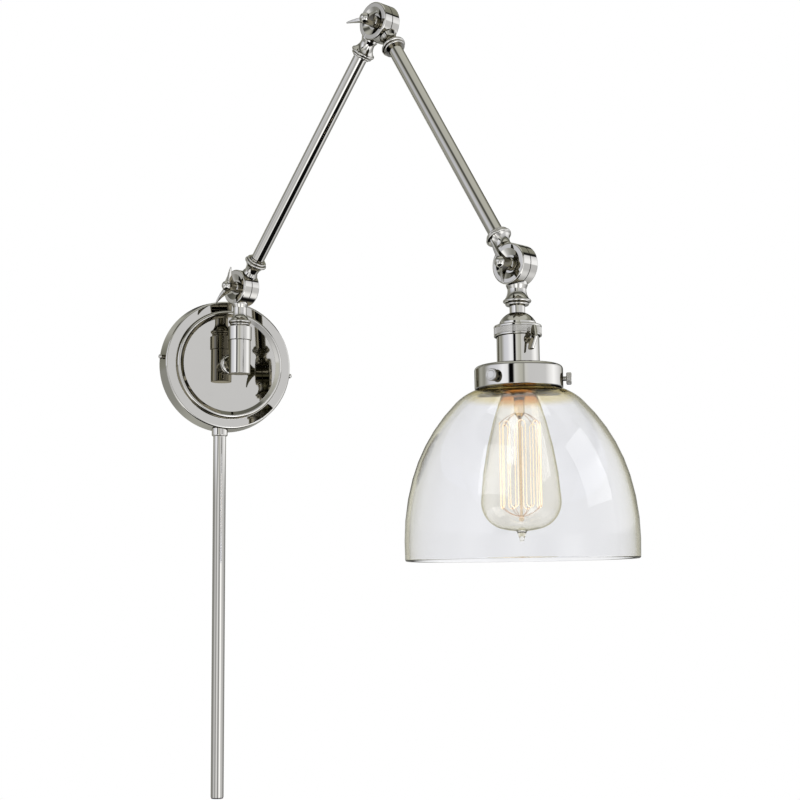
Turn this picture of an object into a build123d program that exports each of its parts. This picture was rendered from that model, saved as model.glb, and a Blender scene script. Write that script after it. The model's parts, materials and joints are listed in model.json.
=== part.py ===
from build123d import *

import os
from math import asin, cos, degrees, radians, sin, sqrt
from typing import NamedTuple

os.makedirs("parts", exist_ok=True)

# Sizes are in millimetres and degrees. The origin is the centre of the wall plate on the wall,
# with +Z up, +Y into the wall and +X to the right of someone facing the lamp.

# Pose at rest
ARM_SWING = 22.4
LOWER_ARM_RISE = 47.95
UPPER_ARM_DROP = 57.1
HEAD_LEAN = 1.2
SWING_LIMIT = 80.0

# Clearances
RUN_GAP = 0.06
SEAT_GAP = 0.05
FACE_GAP = 0.1
SADDLE_GAP = 0.5
EDGE_BREAK = 0.4

# Wall plate, a spun shell with a drafted wall and a raised middle panel
PLATE_R = 65.7
PLATE_FRONT_R = 63.4
FLANGE_DEPTH = 20.0
PANEL_RISE = 4.2
STEP_OUTER_R = 52.2
STEP_INNER_R = 49.4
PLATE_WALL = 1.5
PLATE_EDGE_R = 2.0
STEP_COVE_R = 1.0
STEP_CROWN_R = 2.0
PLATE_TURN = 5.6

# Mounting bracket and its screws
BRACKET_W = 18.0
BRACKET_T = 2.0
EAR_DEPTH = 14.0
EAR_BEND_R = 1.5
WALL_SCREW_PCD = 88.9
WALL_HOLE_R = 2.4
CENTRE_HOLE_R = 5.1
SIDE_SCREW_R = 1.9
SIDE_SCREW_DEPTH = 9.0
SIDE_SCREW_TAIL = 8.0
BALL_HEAD_R = 2.4
GROUND_SCREW_AT = 25.0
GROUND_SCREW_R = 1.9
GROUND_HEAD_R = 3.8
GROUND_HEAD_T = 2.2
GROUND_TAIL = 1.5

# Horizontal stem that carries the post
STEM_R = 7.0
STEM_FLANGE_R = 10.5
STEM_FLANGE_T = 2.6
STEM_COVE_R = 3.0
STEM_THREAD_R = 5.0
STEM_TAIL = 9.0
STEM_BORE_R = 2.8
SPIGOT_R = 4.2
STEM_WASHER_R = 9.5
STEM_WASHER_T = 1.2
LOCKNUT_FLATS = 14.0
LOCKNUT_T = 4.0

# Swivel post
POST_REACH = 58.4
BARREL_R = 10.4
UPPER_BARREL_R = 11.3
BARREL_BOTTOM = -13.5
BARREL_SEAM = 19.1
BARREL_WALL = 1.9
JOURNAL_LENGTH = 8.0
PLUG_T = 2.6
SPINDLE_R = 5.0
SPINDLE_BORE_R = 3.2
SPINDLE_TAIL = 2.0
SPRING_WASHER_R = 8.0
SPRING_WASHER_T = 1.0
SPINDLE_NUT_FLATS = 13.0
SPINDLE_NUT_T = 4.0
STOP_PIN_R = 1.0
STOP_PIN_AT = 7.6
STOP_PIN_GRIP = 4.0
STOP_GROOVE_DEPTH = 2.4
STOP_MARGIN = 1.0

# Cord cover tube under the plate
COVER_DEPTH = 10.0
COVER_R = 6.35
COVER_WALL = 1.0
COVER_LENGTH = 359.0
COVER_COLLAR_R = 7.9
COVER_COLLAR_H = 4.8
COVER_SOCKET_H = 3.6
COVER_COLLAR_EDGE_R = 1.2
COVER_THREAD_R = 5.0
COVER_THREAD_RISE = 7.0
COVER_NUT_FLATS = 13.0
COVER_NUT_T = 3.0
COVER_BORE_R = 3.6
BUSHING_FLANGE_T = 1.0
BUSHING_PLUG_H = 8.0

# Clamped knuckles, all six halves from one pattern
PIVOT_HEIGHT = 70.6
ARM_LENGTH = 285.5
KNUCKLE_R = 16.75
KNUCKLE_HALF = 9.25
KNUCKLE_SEAM = 0.8
KNUCKLE_EDGE_R = 1.4
DISH_R = 12.4
DISH_DEPTH = 3.0
DISH_SEAT_R = 7.2
POCKET_R = 11.0
POCKET_DEPTH = 3.0
WIRE_BORE_R = 2.6
FRICTION_WASHER_INNER_R = 11.6
FRICTION_WASHER_OUTER_R = 15.8
NECK_R = 6.5
HEAD_NECK_R = 7.6
HEAD_RING_R = 11.4
NECK_ROOT_FLARE = 1.2
NECK_ROOT_RUN = 3.0
STEM_OFFSET = 1.6
BELL_RUN = 7.6
RING_FROM = 28.1
POST_RING_FROM = 32.1
RING_W = 2.8
RING_R = 10.9
RING_ROUND = 1.2
LIP_W = 2.2
LIP_R = 9.6
LIP_ROUND = 0.7
SOCKET_FROM = 25.0

# Pivot bolts and wing nuts
BOLT_R = 3.0
BOLT_HEAD_R = 6.4
BOLT_HEAD_H = 3.6
BOLT_SLOT_W = 1.4
BOLT_SLOT_D = 1.4
HUB_R = 5.4
HUB_FOOT_H = 2.0
HUB_WAIST_R = 4.7
HUB_SHOULDER_H = 12.0
HUB_H = 16.5
HUB_BORE_H = 11.0
BOLT_END_GAP = 0.8
WING_ROOT_T = 4.4
WING_TIP_T = 0.7
WING_SPAN = 24.0
WING_TIP_H = 16.0
WING_TIP_R = 0.6
WING_BULGE = 2.6
LOWER_WING_TURN = 54.0
ELBOW_WING_TURN = 180.0
HEAD_WING_TURN = 109.0

# Arm tubes
TUBE_R = 6.35
TUBE_WALL = 1.2
TUBE_TAIL_WALL = 1.3
TUBE_TAIL = 1.2

# Lamp holder, in drops below the head pivot along the head's own line
HEAD_NIPPLE_R = 5.0
HEAD_NIPPLE_BORE_R = 3.3
HEAD_NIPPLE_END = 50.0
HEAD_TAIL_R = 6.25
CAP_TOP = 39.6
CAP_DOME_R = 14.8
CAP_DOME_END = 47.2
CAP_BAND_TOP = 49.4
CAP_BAND_R = 19.25
CAP_BAND_END = 58.4
CAP_WALL = 1.2
CAP_SHOULDER_R = 1.4
SHELL_R = 17.15
SHELL_WALL = 1.0
SHELL_TOP = 51.5
SHELL_END = 90.0
LINER_R = 15.9
LINER_WALL = 0.8
LINER_END = 97.0
CORE_R = 14.7
CORE_TOP = 52.5
CORE_END = 69.0
SCREW_SHELL_R = 14.0
SCREW_SHELL_WALL = 0.5
SCREW_SHELL_END = 98.5
CONTACT_R = 4.0

# Turn key
KEY_ANGLE = 20.9
KEY_DROP = 62.5
KEY_SHAFT_R = 1.9
KEY_SHAFT_DEPTH = 12.0
KEY_BUSHING_R = 3.6
KEY_BUSHING_END = 20.2
KEY_NEAR = 21.5
KEY_FAR = 31.5
KEY_HEIGHT = 20.5
KEY_TOP = 3.8
KEY_FOOT = 7.0
KEY_T = 2.5
KEY_CORNER_R = 1.8
KEY_TILT = 12.0

# Shade holder with its three thumbscrews
HOLDER_R = 35.5
HOLDER_TOP = 82.4
HOLDER_END = 100.5
HOLDER_WALL = 1.4
HOLDER_EDGE_R = 3.2
HOLDER_RING_R = 20.6
HOLDER_RING_H = 4.0
THUMB_ANGLE = 80.4
THUMB_COUNT = 3
THUMB_DROP = 93.3
THUMB_R = 2.0
THUMB_HEAD_R = 5.0
THUMB_HEAD_T = 4.2
THUMB_STANDOFF = 2.4
THUMB_TIP_GAP = 0.3
THUMB_EDGE = 0.6

# Blown glass shade
GLASS_T = 3.0
SHADE_NECK_R = 27.0
SHADE_LIP_R = 30.0
SHADE_LIP_TOP = 86.6
SHADE_LIP_T = 3.2
SHADE_LIP_ROUND = 1.2
SHADE_NECK_COVE_R = 4.0
SHADE_SHOULDER = (35.0, 101.6)
SHADE_CROWN = (51.2, 111.8)
SHADE_SIDE = (86.5, 172.0)
SHADE_WIDEST = (93.5, 222.0)
SHADE_MOUTH = (93.2, 237.5)
SHADE_RIM_ROUND = 1.2

# Filament bulb
BULB_BASE_R = 13.1
BULB_BASE_WALL = 0.6
BULB_BASE_TOP = 77.0
BULB_BASE_END = 101.0
BULB_INSULATOR_R = 9.5
BULB_INSULATOR_TOP_R = 5.2
BULB_INSULATOR_H = 2.8
BULB_TIP_R = 4.6
BULB_TIP_H = 1.4
BULB_GLASS_T = 0.9
BULB_NECK_GRIP = 4.0
BULB_SHOULDER = (21.3, 127.0)
BULB_WIDEST = (32.0, 190.0)
BULB_FOOT = (15.6, 212.6)
BULB_BOTTOM = 214.6
PIP_R = 4.0
PIP_TIP_R = 1.8
PIP_END = 222.5
MOUNT_R = 4.2
MOUNT_FLARE_END = 111.0
MOUNT_END = 125.0
MOUNT_ROD_R = 1.1
MOUNT_ROD_END = 205.0
MOUNT_BEAD_R = 2.2
CAGE_R = 16.4
CAGE_TOP = 131.0
CAGE_END = 193.0
CAGE_STRANDS = 16
FILAMENT_R = 0.3
SUPPORT_R = 0.25
SUPPORT_GAP = 0.15

# Places and directions that follow from the sizes above
UP = Vector(0, 0, 1)
REACH = Vector(sin(radians(ARM_SWING)), -cos(radians(ARM_SWING)), 0)
PIVOT_AXIS = REACH.cross(UP)
PANEL_DEPTH = FLANGE_DEPTH + PANEL_RISE
PANEL_BACK = PANEL_DEPTH - PLATE_WALL
CAVITY_R = BARREL_R - BARREL_WALL
WEB_BOTTOM = BARREL_SEAM - JOURNAL_LENGTH
SEAT_Z = KNUCKLE_HALF - DISH_DEPTH
RING_RUN = RING_W + LIP_W


def along(rise):
    """Direction in the arms' upright plane, at an angle above the horizontal."""
    return REACH * cos(radians(rise)) + UP * sin(radians(rise))


LOWER_DIRECTION = along(LOWER_ARM_RISE)
UPPER_DIRECTION = along(-UPPER_ARM_DROP)
HEAD_DIRECTION = along(HEAD_LEAN - 90)
LOWER_PIVOT = Vector(0, -POST_REACH, PIVOT_HEIGHT) - PIVOT_AXIS * STEM_OFFSET
ELBOW_PIVOT = LOWER_PIVOT + LOWER_DIRECTION * ARM_LENGTH - PIVOT_AXIS * (2 * STEM_OFFSET)
HEAD_PIVOT = ELBOW_PIVOT + UPPER_DIRECTION * ARM_LENGTH - PIVOT_AXIS * (2 * STEM_OFFSET)
HEAD_TOP = HEAD_PIVOT - PIVOT_AXIS * STEM_OFFSET


def plate_wall_r(depth):
    """Outer radius of the plate's drafted wall at a distance from the building's wall."""
    return PLATE_R - (PLATE_R - PLATE_FRONT_R) * depth / FLANGE_DEPTH


def turned(frame, angle):
    """The frame turned about its own Z."""
    x_dir = frame.x_dir * cos(radians(angle)) + frame.y_dir * sin(radians(angle))
    return Plane(origin=frame.origin, x_dir=x_dir, z_dir=frame.z_dir)


# Working frames: Z is the line about which the pieces of each frame are turned
WALL = Plane(origin=(0, 0, 0), x_dir=(1, 0, 0), z_dir=(0, -1, 0))
CANOPY = turned(WALL, -PLATE_TURN)
POST = Plane(origin=(0, -POST_REACH, 0), x_dir=(0, -1, 0), z_dir=(0, 0, 1))
COVER_X = -PLATE_R * sin(radians(PLATE_TURN))
COVER = Plane(origin=(COVER_X, -COVER_DEPTH, 0), x_dir=(1, 0, 0), z_dir=(0, 0, -1))
HEAD = Plane(origin=HEAD_TOP, x_dir=HEAD_DIRECTION.cross(PIVOT_AXIS) * -1, z_dir=HEAD_DIRECTION)


def knuckle_frame(pivot, direction):
    """Frame of one knuckle half: X along its stem, Z along the pivot towards the wing nut."""
    return Plane(origin=pivot, x_dir=direction, z_dir=PIVOT_AXIS)


def side_plane(frame):
    """Plane of an outline that is turned about the frame's Z: first the radius, then the height."""
    return Plane(origin=frame.origin, x_dir=frame.x_dir, z_dir=frame.y_dir * -1)


def spin_axis(frame):
    return Axis(frame.origin, frame.z_dir)


def radial_frame(angle, drop):
    """Frame on the head's line whose Z points outwards at an angle round the head."""
    outwards = HEAD.x_dir * cos(radians(angle)) + HEAD.y_dir * sin(radians(angle))
    return Plane(origin=HEAD.origin + HEAD.z_dir * drop, x_dir=HEAD.z_dir, z_dir=outwards)


def save(piece, name):
    piece.label = name
    export_step(piece, f"parts/{name}.step")


def sleeve(frame, outer_r, inner_r, start, end):
    """Plain tube, ring or washer on the frame's Z."""
    with BuildPart() as piece:
        with BuildSketch(frame.offset(start)):
            Circle(outer_r)
            Circle(inner_r, mode=Mode.SUBTRACT)
        extrude(amount=end - start)
    return piece.part


def hex_nut(frame, flats, bore_r, start, end):
    with BuildPart() as nut:
        with BuildSketch(frame.offset(start)):
            RegularPolygon(flats / 2, 6, major_radius=False)
            Circle(bore_r, mode=Mode.SUBTRACT)
        extrude(amount=end - start)
    return nut.part


# Wall plate: the outline of the spun sheet, thickened inwards
with BuildPart() as wall_plate:
    with BuildSketch(side_plane(WALL)):
        with BuildLine():
            FilletPolyline(
                (PLATE_R, 0),
                (PLATE_FRONT_R, FLANGE_DEPTH),
                (STEP_OUTER_R, FLANGE_DEPTH),
                (STEP_INNER_R, PANEL_DEPTH),
                (STEM_THREAD_R + SEAT_GAP, PANEL_DEPTH),
                radius=[PLATE_EDGE_R, STEP_COVE_R, STEP_CROWN_R],
            )
            offset(amount=PLATE_WALL, side=Side.LEFT)
        make_face()
    revolve(axis=spin_axis(WALL))
    # The free edge is faced off flush with the wall
    with BuildSketch(WALL):
        Circle(PLATE_R + PLATE_WALL)
    extrude(amount=-PLATE_WALL, mode=Mode.SUBTRACT)
    with BuildSketch(Plane(CANOPY.origin + CANOPY.z_dir * SIDE_SCREW_DEPTH, CANOPY.y_dir, CANOPY.x_dir)):
        Circle(SIDE_SCREW_R + SEAT_GAP)
    extrude(amount=PLATE_R, both=True, mode=Mode.SUBTRACT)
    with BuildSketch(COVER):
        Circle(COVER_THREAD_R + SEAT_GAP)
    extrude(amount=PLATE_R, mode=Mode.SUBTRACT)
save(wall_plate.part, "wall_plate")

# Mounting bracket: a flat bar on the wall with an ear bent up at each end
EAR_INNER_R = plate_wall_r(EAR_DEPTH) - PLATE_WALL - FACE_GAP
EAR_FACE = sqrt(EAR_INNER_R**2 - (BRACKET_W / 2) ** 2)
with BuildPart() as mounting_bracket:
    with BuildSketch(Plane(CANOPY.origin, CANOPY.x_dir, CANOPY.y_dir * -1)):
        with BuildLine():
            FilletPolyline(
                (-EAR_FACE, EAR_DEPTH),
                (-EAR_FACE, 0),
                (EAR_FACE, 0),
                (EAR_FACE, EAR_DEPTH),
                radius=BRACKET_T + EAR_BEND_R,
            )
            offset(amount=BRACKET_T, side=Side.LEFT)
        make_face()
    extrude(amount=BRACKET_W / 2, both=True)
    with BuildSketch(CANOPY):
        with PolarLocations(WALL_SCREW_PCD / 2, 2):
            Circle(WALL_HOLE_R)
        with Locations((GROUND_SCREW_AT, 0)):
            Circle(GROUND_SCREW_R + SEAT_GAP)
        Circle(CENTRE_HOLE_R)
    extrude(amount=BRACKET_T, mode=Mode.SUBTRACT)
    with BuildSketch(Plane(CANOPY.origin + CANOPY.z_dir * SIDE_SCREW_DEPTH, CANOPY.y_dir, CANOPY.x_dir)):
        Circle(SIDE_SCREW_R + SEAT_GAP)
    extrude(amount=PLATE_R, both=True, mode=Mode.SUBTRACT)
save(mounting_bracket.part, "mounting_bracket")

# The two ball-headed screws that hold the plate to the bracket's ears
SCREW_FACE = plate_wall_r(SIDE_SCREW_DEPTH - BALL_HEAD_R) + FACE_GAP
with BuildPart() as plate_side_screws:
    for side in (1, -1):
        screw = Plane(CANOPY.origin + CANOPY.z_dir * SIDE_SCREW_DEPTH, CANOPY.z_dir, CANOPY.x_dir * side)
        with BuildSketch(side_plane(screw)):
            with BuildLine():
                shank = Polyline(
                    (0, SCREW_FACE - SIDE_SCREW_TAIL),
                    (SIDE_SCREW_R, SCREW_FACE - SIDE_SCREW_TAIL),
                    (SIDE_SCREW_R, SCREW_FACE),
                )
                ball = ThreePointArc(
                    shank @ 1,
                    (BALL_HEAD_R, SCREW_FACE + sqrt(BALL_HEAD_R**2 - SIDE_SCREW_R**2)),
                    (0, SCREW_FACE + sqrt(BALL_HEAD_R**2 - SIDE_SCREW_R**2) + BALL_HEAD_R),
                )
                Line(ball @ 1, shank @ 0)
            make_face()
        revolve(axis=spin_axis(screw))
save(plate_side_screws.part, "plate_side_screws")

# Earth screw on the bracket
ground_frame = Plane(CANOPY.origin + CANOPY.x_dir * GROUND_SCREW_AT, CANOPY.x_dir, CANOPY.z_dir)
with BuildPart() as ground_screw:
    with BuildSketch(side_plane(ground_frame)):
        with BuildLine():
            shank = Polyline(
                (0, BRACKET_T - GROUND_TAIL),
                (GROUND_SCREW_R, BRACKET_T - GROUND_TAIL),
                (GROUND_SCREW_R, BRACKET_T),
                (GROUND_HEAD_R, BRACKET_T),
                (GROUND_HEAD_R, BRACKET_T + GROUND_HEAD_T / 2),
            )
            dome = TangentArc((0, BRACKET_T + GROUND_HEAD_T), shank @ 1, tangent=(1, 0))
            Line(dome @ 0, shank @ 0)
        make_face()
    revolve(axis=spin_axis(ground_frame))
save(ground_screw.part, "ground_screw")

# Stem: flange on the plate, threaded tail behind it, saddle and spigot at the post
with BuildPart() as stem_tube:
    with BuildSketch(side_plane(WALL)):
        with BuildLine():
            FilletPolyline(
                (STEM_THREAD_R, PANEL_DEPTH),
                (STEM_FLANGE_R, PANEL_DEPTH),
                (STEM_FLANGE_R, PANEL_DEPTH + STEM_FLANGE_T),
                (STEM_R, PANEL_DEPTH + STEM_FLANGE_T),
                (STEM_R, POST_REACH),
                radius=[EDGE_BREAK, STEM_FLANGE_T / 2, STEM_COVE_R],
            )
            Polyline(
                (STEM_R, POST_REACH),
                (STEM_BORE_R, POST_REACH),
                (STEM_BORE_R, PANEL_BACK - STEM_TAIL),
                (STEM_THREAD_R, PANEL_BACK - STEM_TAIL),
                (STEM_THREAD_R, PANEL_DEPTH),
            )
        make_face()
    revolve(axis=spin_axis(WALL))
    with BuildSketch(POST):
        Circle(BARREL_R + SEAT_GAP)
    extrude(amount=STEM_R + BARREL_R, both=True, mode=Mode.SUBTRACT)
    with BuildSketch(WALL.offset(POST_REACH - BARREL_R - STEM_COVE_R)):
        Circle(SPIGOT_R)
        Circle(STEM_BORE_R, mode=Mode.SUBTRACT)
    extrude(amount=STEM_COVE_R + BARREL_WALL)
save(stem_tube.part, "stem_tube")

WASHER_FACE = PANEL_BACK - STEM_WASHER_T
save(sleeve(WALL, STEM_WASHER_R, STEM_THREAD_R + SEAT_GAP, WASHER_FACE, PANEL_BACK), "stem_washer")
save(
    hex_nut(WALL, LOCKNUT_FLATS, STEM_THREAD_R + SEAT_GAP, WASHER_FACE - LOCKNUT_T, WASHER_FACE),
    "stem_locknut",
)

# Lower barrel, fixed to the stem, with the swivel's journal and the groove of its stop
groove_half = SWING_LIMIT + STOP_MARGIN
stop_arc = CenterArc((0, 0), STOP_PIN_AT, 180 - groove_half, 2 * groove_half)
with BuildPart() as swivel_barrel_lower:
    with BuildSketch(side_plane(POST)):
        with BuildLine():
            Polyline(
                (CAVITY_R, BARREL_BOTTOM),
                (BARREL_R, BARREL_BOTTOM),
                (BARREL_R, BARREL_SEAM),
                (SPINDLE_R + RUN_GAP, BARREL_SEAM),
                (SPINDLE_R + RUN_GAP, WEB_BOTTOM),
                (CAVITY_R, WEB_BOTTOM),
                close=True,
            )
        make_face()
    revolve(axis=spin_axis(POST))
    rims = swivel_barrel_lower.edges().filter_by(GeomType.CIRCLE).sort_by(SortBy.RADIUS)[-2:]
    fillet(rims, EDGE_BREAK)
    with BuildSketch(POST.offset(BARREL_SEAM)):
        SlotArc(stop_arc, 2 * (STOP_PIN_R + RUN_GAP))
    extrude(amount=-STOP_GROOVE_DEPTH, mode=Mode.SUBTRACT)
    with BuildSketch(WALL.offset(POST_REACH - BARREL_R)):
        Circle(SPIGOT_R + SEAT_GAP)
    extrude(amount=BARREL_R, mode=Mode.SUBTRACT)
save(swivel_barrel_lower.part, "swivel_barrel_lower")

with BuildPart() as swivel_barrel_plug:
    with BuildSketch(POST.offset(BARREL_BOTTOM)):
        Circle(CAVITY_R - SEAT_GAP)
    extrude(amount=PLUG_T)
    plug_rim = swivel_barrel_plug.edges().sort_by(Axis.Z)[0]
    fillet(plug_rim, EDGE_BREAK)
save(swivel_barrel_plug.part, "swivel_barrel_plug")

# Upper barrel, which turns with the arms
CAP_Z = PIVOT_HEIGHT - POST_RING_FROM - RING_RUN - TUBE_TAIL
UPPER_Z = BARREL_SEAM + FACE_GAP
with BuildPart() as swivel_barrel_upper:
    with BuildSketch(POST.offset(UPPER_Z)):
        Circle(UPPER_BARREL_R)
        Circle(SPINDLE_R + SEAT_GAP, mode=Mode.SUBTRACT)
    extrude(amount=CAP_Z - UPPER_Z)
    rims = swivel_barrel_upper.edges().filter_by(GeomType.CIRCLE).sort_by(SortBy.RADIUS)[-2:]
    fillet(rims, EDGE_BREAK)
    with BuildSketch(POST.offset(UPPER_Z)):
        with PolarLocations(STOP_PIN_AT, 1, start_angle=ARM_SWING + 180):
            Circle(STOP_PIN_R + SEAT_GAP)
    extrude(amount=STOP_PIN_GRIP, mode=Mode.SUBTRACT)
save(swivel_barrel_upper.part, "swivel_barrel_upper")

with BuildPart() as swivel_stop_pin:
    with BuildSketch(POST.offset(BARREL_SEAM - STOP_GROOVE_DEPTH + EDGE_BREAK)):
        with PolarLocations(STOP_PIN_AT, 1, start_angle=ARM_SWING + 180):
            Circle(STOP_PIN_R)
    extrude(amount=STOP_GROOVE_DEPTH - EDGE_BREAK + FACE_GAP + STOP_PIN_GRIP)
save(swivel_stop_pin.part, "swivel_stop_pin")

SPRING_TOP = WEB_BOTTOM - FACE_GAP
SPRING_BOTTOM = SPRING_TOP - SPRING_WASHER_T
NUT_BOTTOM = SPRING_BOTTOM - SPINDLE_NUT_T
SPINDLE_TOP = PIVOT_HEIGHT - SOCKET_FROM
save(sleeve(POST, SPINDLE_R, SPINDLE_BORE_R, NUT_BOTTOM - SPINDLE_TAIL, SPINDLE_TOP), "swivel_spindle")
save(
    sleeve(POST, SPRING_WASHER_R, SPINDLE_R + SEAT_GAP, SPRING_BOTTOM, SPRING_TOP),
    "swivel_spring_washer",
)
save(
    hex_nut(POST, SPINDLE_NUT_FLATS, SPINDLE_R + SEAT_GAP, NUT_BOTTOM, SPRING_BOTTOM),
    "swivel_locknut",
)

# Cord cover: collar saddled on the plate's rim, locknut inside, tube and end bushing
COLLAR_END = PLATE_R + COVER_COLLAR_H
COVER_TOP = COLLAR_END - COVER_SOCKET_H
COVER_END = COVER_TOP + COVER_LENGTH
with BuildPart() as cord_cover_collar:
    with BuildSketch(side_plane(COVER)):
        with BuildLine():
            FilletPolyline(
                (COVER_BORE_R, PLATE_R - COVER_COLLAR_R),
                (COVER_COLLAR_R, PLATE_R - COVER_COLLAR_R),
                (COVER_COLLAR_R, COLLAR_END),
                (COVER_R + SEAT_GAP, COLLAR_END),
                radius=[EDGE_BREAK, COVER_COLLAR_EDGE_R],
            )
            Polyline(
                (COVER_R + SEAT_GAP, COLLAR_END),
                (COVER_R + SEAT_GAP, COVER_TOP - SEAT_GAP),
                (COVER_BORE_R, COVER_TOP - SEAT_GAP),
                (COVER_BORE_R, PLATE_R - COVER_COLLAR_R),
            )
        make_face()
    revolve(axis=spin_axis(COVER))
    with BuildSketch(side_plane(WALL)):
        Polygon(
            (0, 0),
            (PLATE_R + SEAT_GAP, 0),
            (PLATE_FRONT_R + SEAT_GAP, FLANGE_DEPTH),
            (0, FLANGE_DEPTH),
            align=None,
        )
    revolve(axis=spin_axis(WALL), mode=Mode.SUBTRACT)
    with BuildSketch(COVER.offset(PLATE_R - COVER_THREAD_RISE)):
        Circle(COVER_THREAD_R)
        Circle(COVER_BORE_R, mode=Mode.SUBTRACT)
    extrude(amount=COVER_THREAD_RISE + COVER_COLLAR_H - COVER_SOCKET_H - SEAT_GAP)
save(cord_cover_collar.part, "cord_cover_collar")

NUT_CORNER = COVER_NUT_FLATS / sqrt(3)
NUT_INNER_R = plate_wall_r(COVER_DEPTH + NUT_CORNER) - PLATE_WALL - FACE_GAP
COVER_NUT_FACE = sqrt(NUT_INNER_R**2 - (NUT_CORNER + abs(COVER_X)) ** 2)
save(
    hex_nut(COVER, COVER_NUT_FLATS, COVER_THREAD_R + SEAT_GAP, COVER_NUT_FACE - COVER_NUT_T, COVER_NUT_FACE),
    "cord_cover_locknut",
)
save(sleeve(COVER, COVER_R, COVER_R - COVER_WALL, COVER_TOP, COVER_END), "cord_cover_tube")

with BuildPart() as cord_cover_bushing:
    with BuildSketch(COVER.offset(COVER_END)):
        Circle(COVER_R - EDGE_BREAK)
        Circle(COVER_BORE_R, mode=Mode.SUBTRACT)
    extrude(amount=BUSHING_FLANGE_T)
    with BuildSketch(COVER.offset(COVER_END - BUSHING_PLUG_H)):
        Circle(COVER_R - COVER_WALL - SEAT_GAP)
        Circle(COVER_BORE_R, mode=Mode.SUBTRACT)
    extrude(amount=BUSHING_PLUG_H)
save(cord_cover_bushing.part, "cord_cover_bushing")


class Stem(NamedTuple):
    """What differs between the stems of the knuckle halves."""

    neck_r: float
    ring_from: float
    ring_r: float
    tail_r: float
    end: float
    socket_r: float


STEM_TAIL_R = TUBE_R + TUBE_TAIL_WALL
ARM_STEM = Stem(NECK_R, RING_FROM, RING_R, STEM_TAIL_R, RING_FROM + RING_RUN + TUBE_TAIL, TUBE_R)
POST_STEM = Stem(
    NECK_R, POST_RING_FROM, RING_R, STEM_TAIL_R, POST_RING_FROM + RING_RUN + TUBE_TAIL, SPINDLE_R
)
HEAD_STEM = Stem(HEAD_NECK_R, RING_FROM, HEAD_RING_R, HEAD_TAIL_R, CAP_TOP, HEAD_NIPPLE_R)


def knuckle_half(frame, side, stem):
    """One half of a clamp: dished disc and belled stem. Side is 1 under the wing nut, -1 behind."""
    inner = side * KNUCKLE_SEAM / 2
    outer = side * KNUCKLE_HALF
    pocket = inner + side * POCKET_DEPTH
    seat = side * SEAT_Z
    root = FRICTION_WASHER_INNER_R + NECK_ROOT_FLARE
    ring_end = stem.ring_from + RING_W
    lip_end = ring_end + LIP_W
    stem_frame = frame.offset(side * STEM_OFFSET)
    with BuildPart() as half:
        # The stem is turned about its own line and cut clear of the other half's rim
        with BuildSketch(stem_frame):
            with BuildLine():
                neck = Polyline(
                    (root, 0),
                    (root, stem.neck_r + NECK_ROOT_FLARE),
                    (KNUCKLE_R, stem.neck_r + NECK_ROOT_FLARE),
                    (KNUCKLE_R + NECK_ROOT_RUN, stem.neck_r),
                    (stem.ring_from - BELL_RUN, stem.neck_r),
                )
                bell = TangentArc(neck @ 1, (stem.ring_from, stem.ring_r - RING_ROUND), tangent=(1, 0))
                ring = ThreePointArc(
                    bell @ 1,
                    (stem.ring_from + RING_W / 2, stem.ring_r),
                    (ring_end, stem.ring_r - RING_ROUND),
                )
                step = Line(ring @ 1, (ring_end, LIP_R - LIP_ROUND))
                lip = ThreePointArc(
                    step @ 1,
                    (ring_end + LIP_W / 2, LIP_R),
                    (lip_end, LIP_R - LIP_ROUND),
                )
                Polyline(lip @ 1, (lip_end, stem.tail_r), (stem.end, stem.tail_r), (stem.end, 0), (root, 0))
            make_face()
        revolve(axis=Axis(stem_frame.origin, frame.x_dir))
        with BuildSketch(frame.offset(inner)):
            Circle(KNUCKLE_R + SADDLE_GAP)
        extrude(amount=-side * (RING_R + KNUCKLE_HALF), mode=Mode.SUBTRACT)
        # The disc is turned about the pivot
        with BuildSketch(side_plane(frame)):
            with BuildLine():
                rim = Polyline(
                    (BOLT_R + RUN_GAP, seat),
                    (BOLT_R + RUN_GAP, pocket),
                    (POCKET_R, pocket),
                    (POCKET_R, inner),
                    (KNUCKLE_R, inner),
                    (KNUCKLE_R, outer - side * KNUCKLE_EDGE_R),
                )
                edge = TangentArc(rim @ 1, (KNUCKLE_R - KNUCKLE_EDGE_R, outer), tangent=(0, side))
                face = Line(edge @ 1, (DISH_R, outer))
                dish = ThreePointArc(
                    face @ 1,
                    ((DISH_R + DISH_SEAT_R) / 2 - DISH_DEPTH / 6, outer - side * DISH_DEPTH * 0.62),
                    (DISH_SEAT_R, seat),
                )
                Line(dish @ 1, rim @ 0)
            make_face()
        revolve(axis=spin_axis(frame))
        # Socket for what the stem holds, and the wire's way into the pocket
        stem_end = Plane(stem_frame.origin + frame.x_dir * stem.end, frame.y_dir, frame.x_dir)
        with BuildSketch(stem_end):
            Circle(stem.socket_r + SEAT_GAP)
        extrude(amount=SOCKET_FROM - SEAT_GAP - stem.end, mode=Mode.SUBTRACT)
        with BuildSketch(stem_end):
            Circle(WIRE_BORE_R)
        extrude(amount=POCKET_R - WIRE_BORE_R - stem.end, mode=Mode.SUBTRACT)
    return half.part


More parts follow.
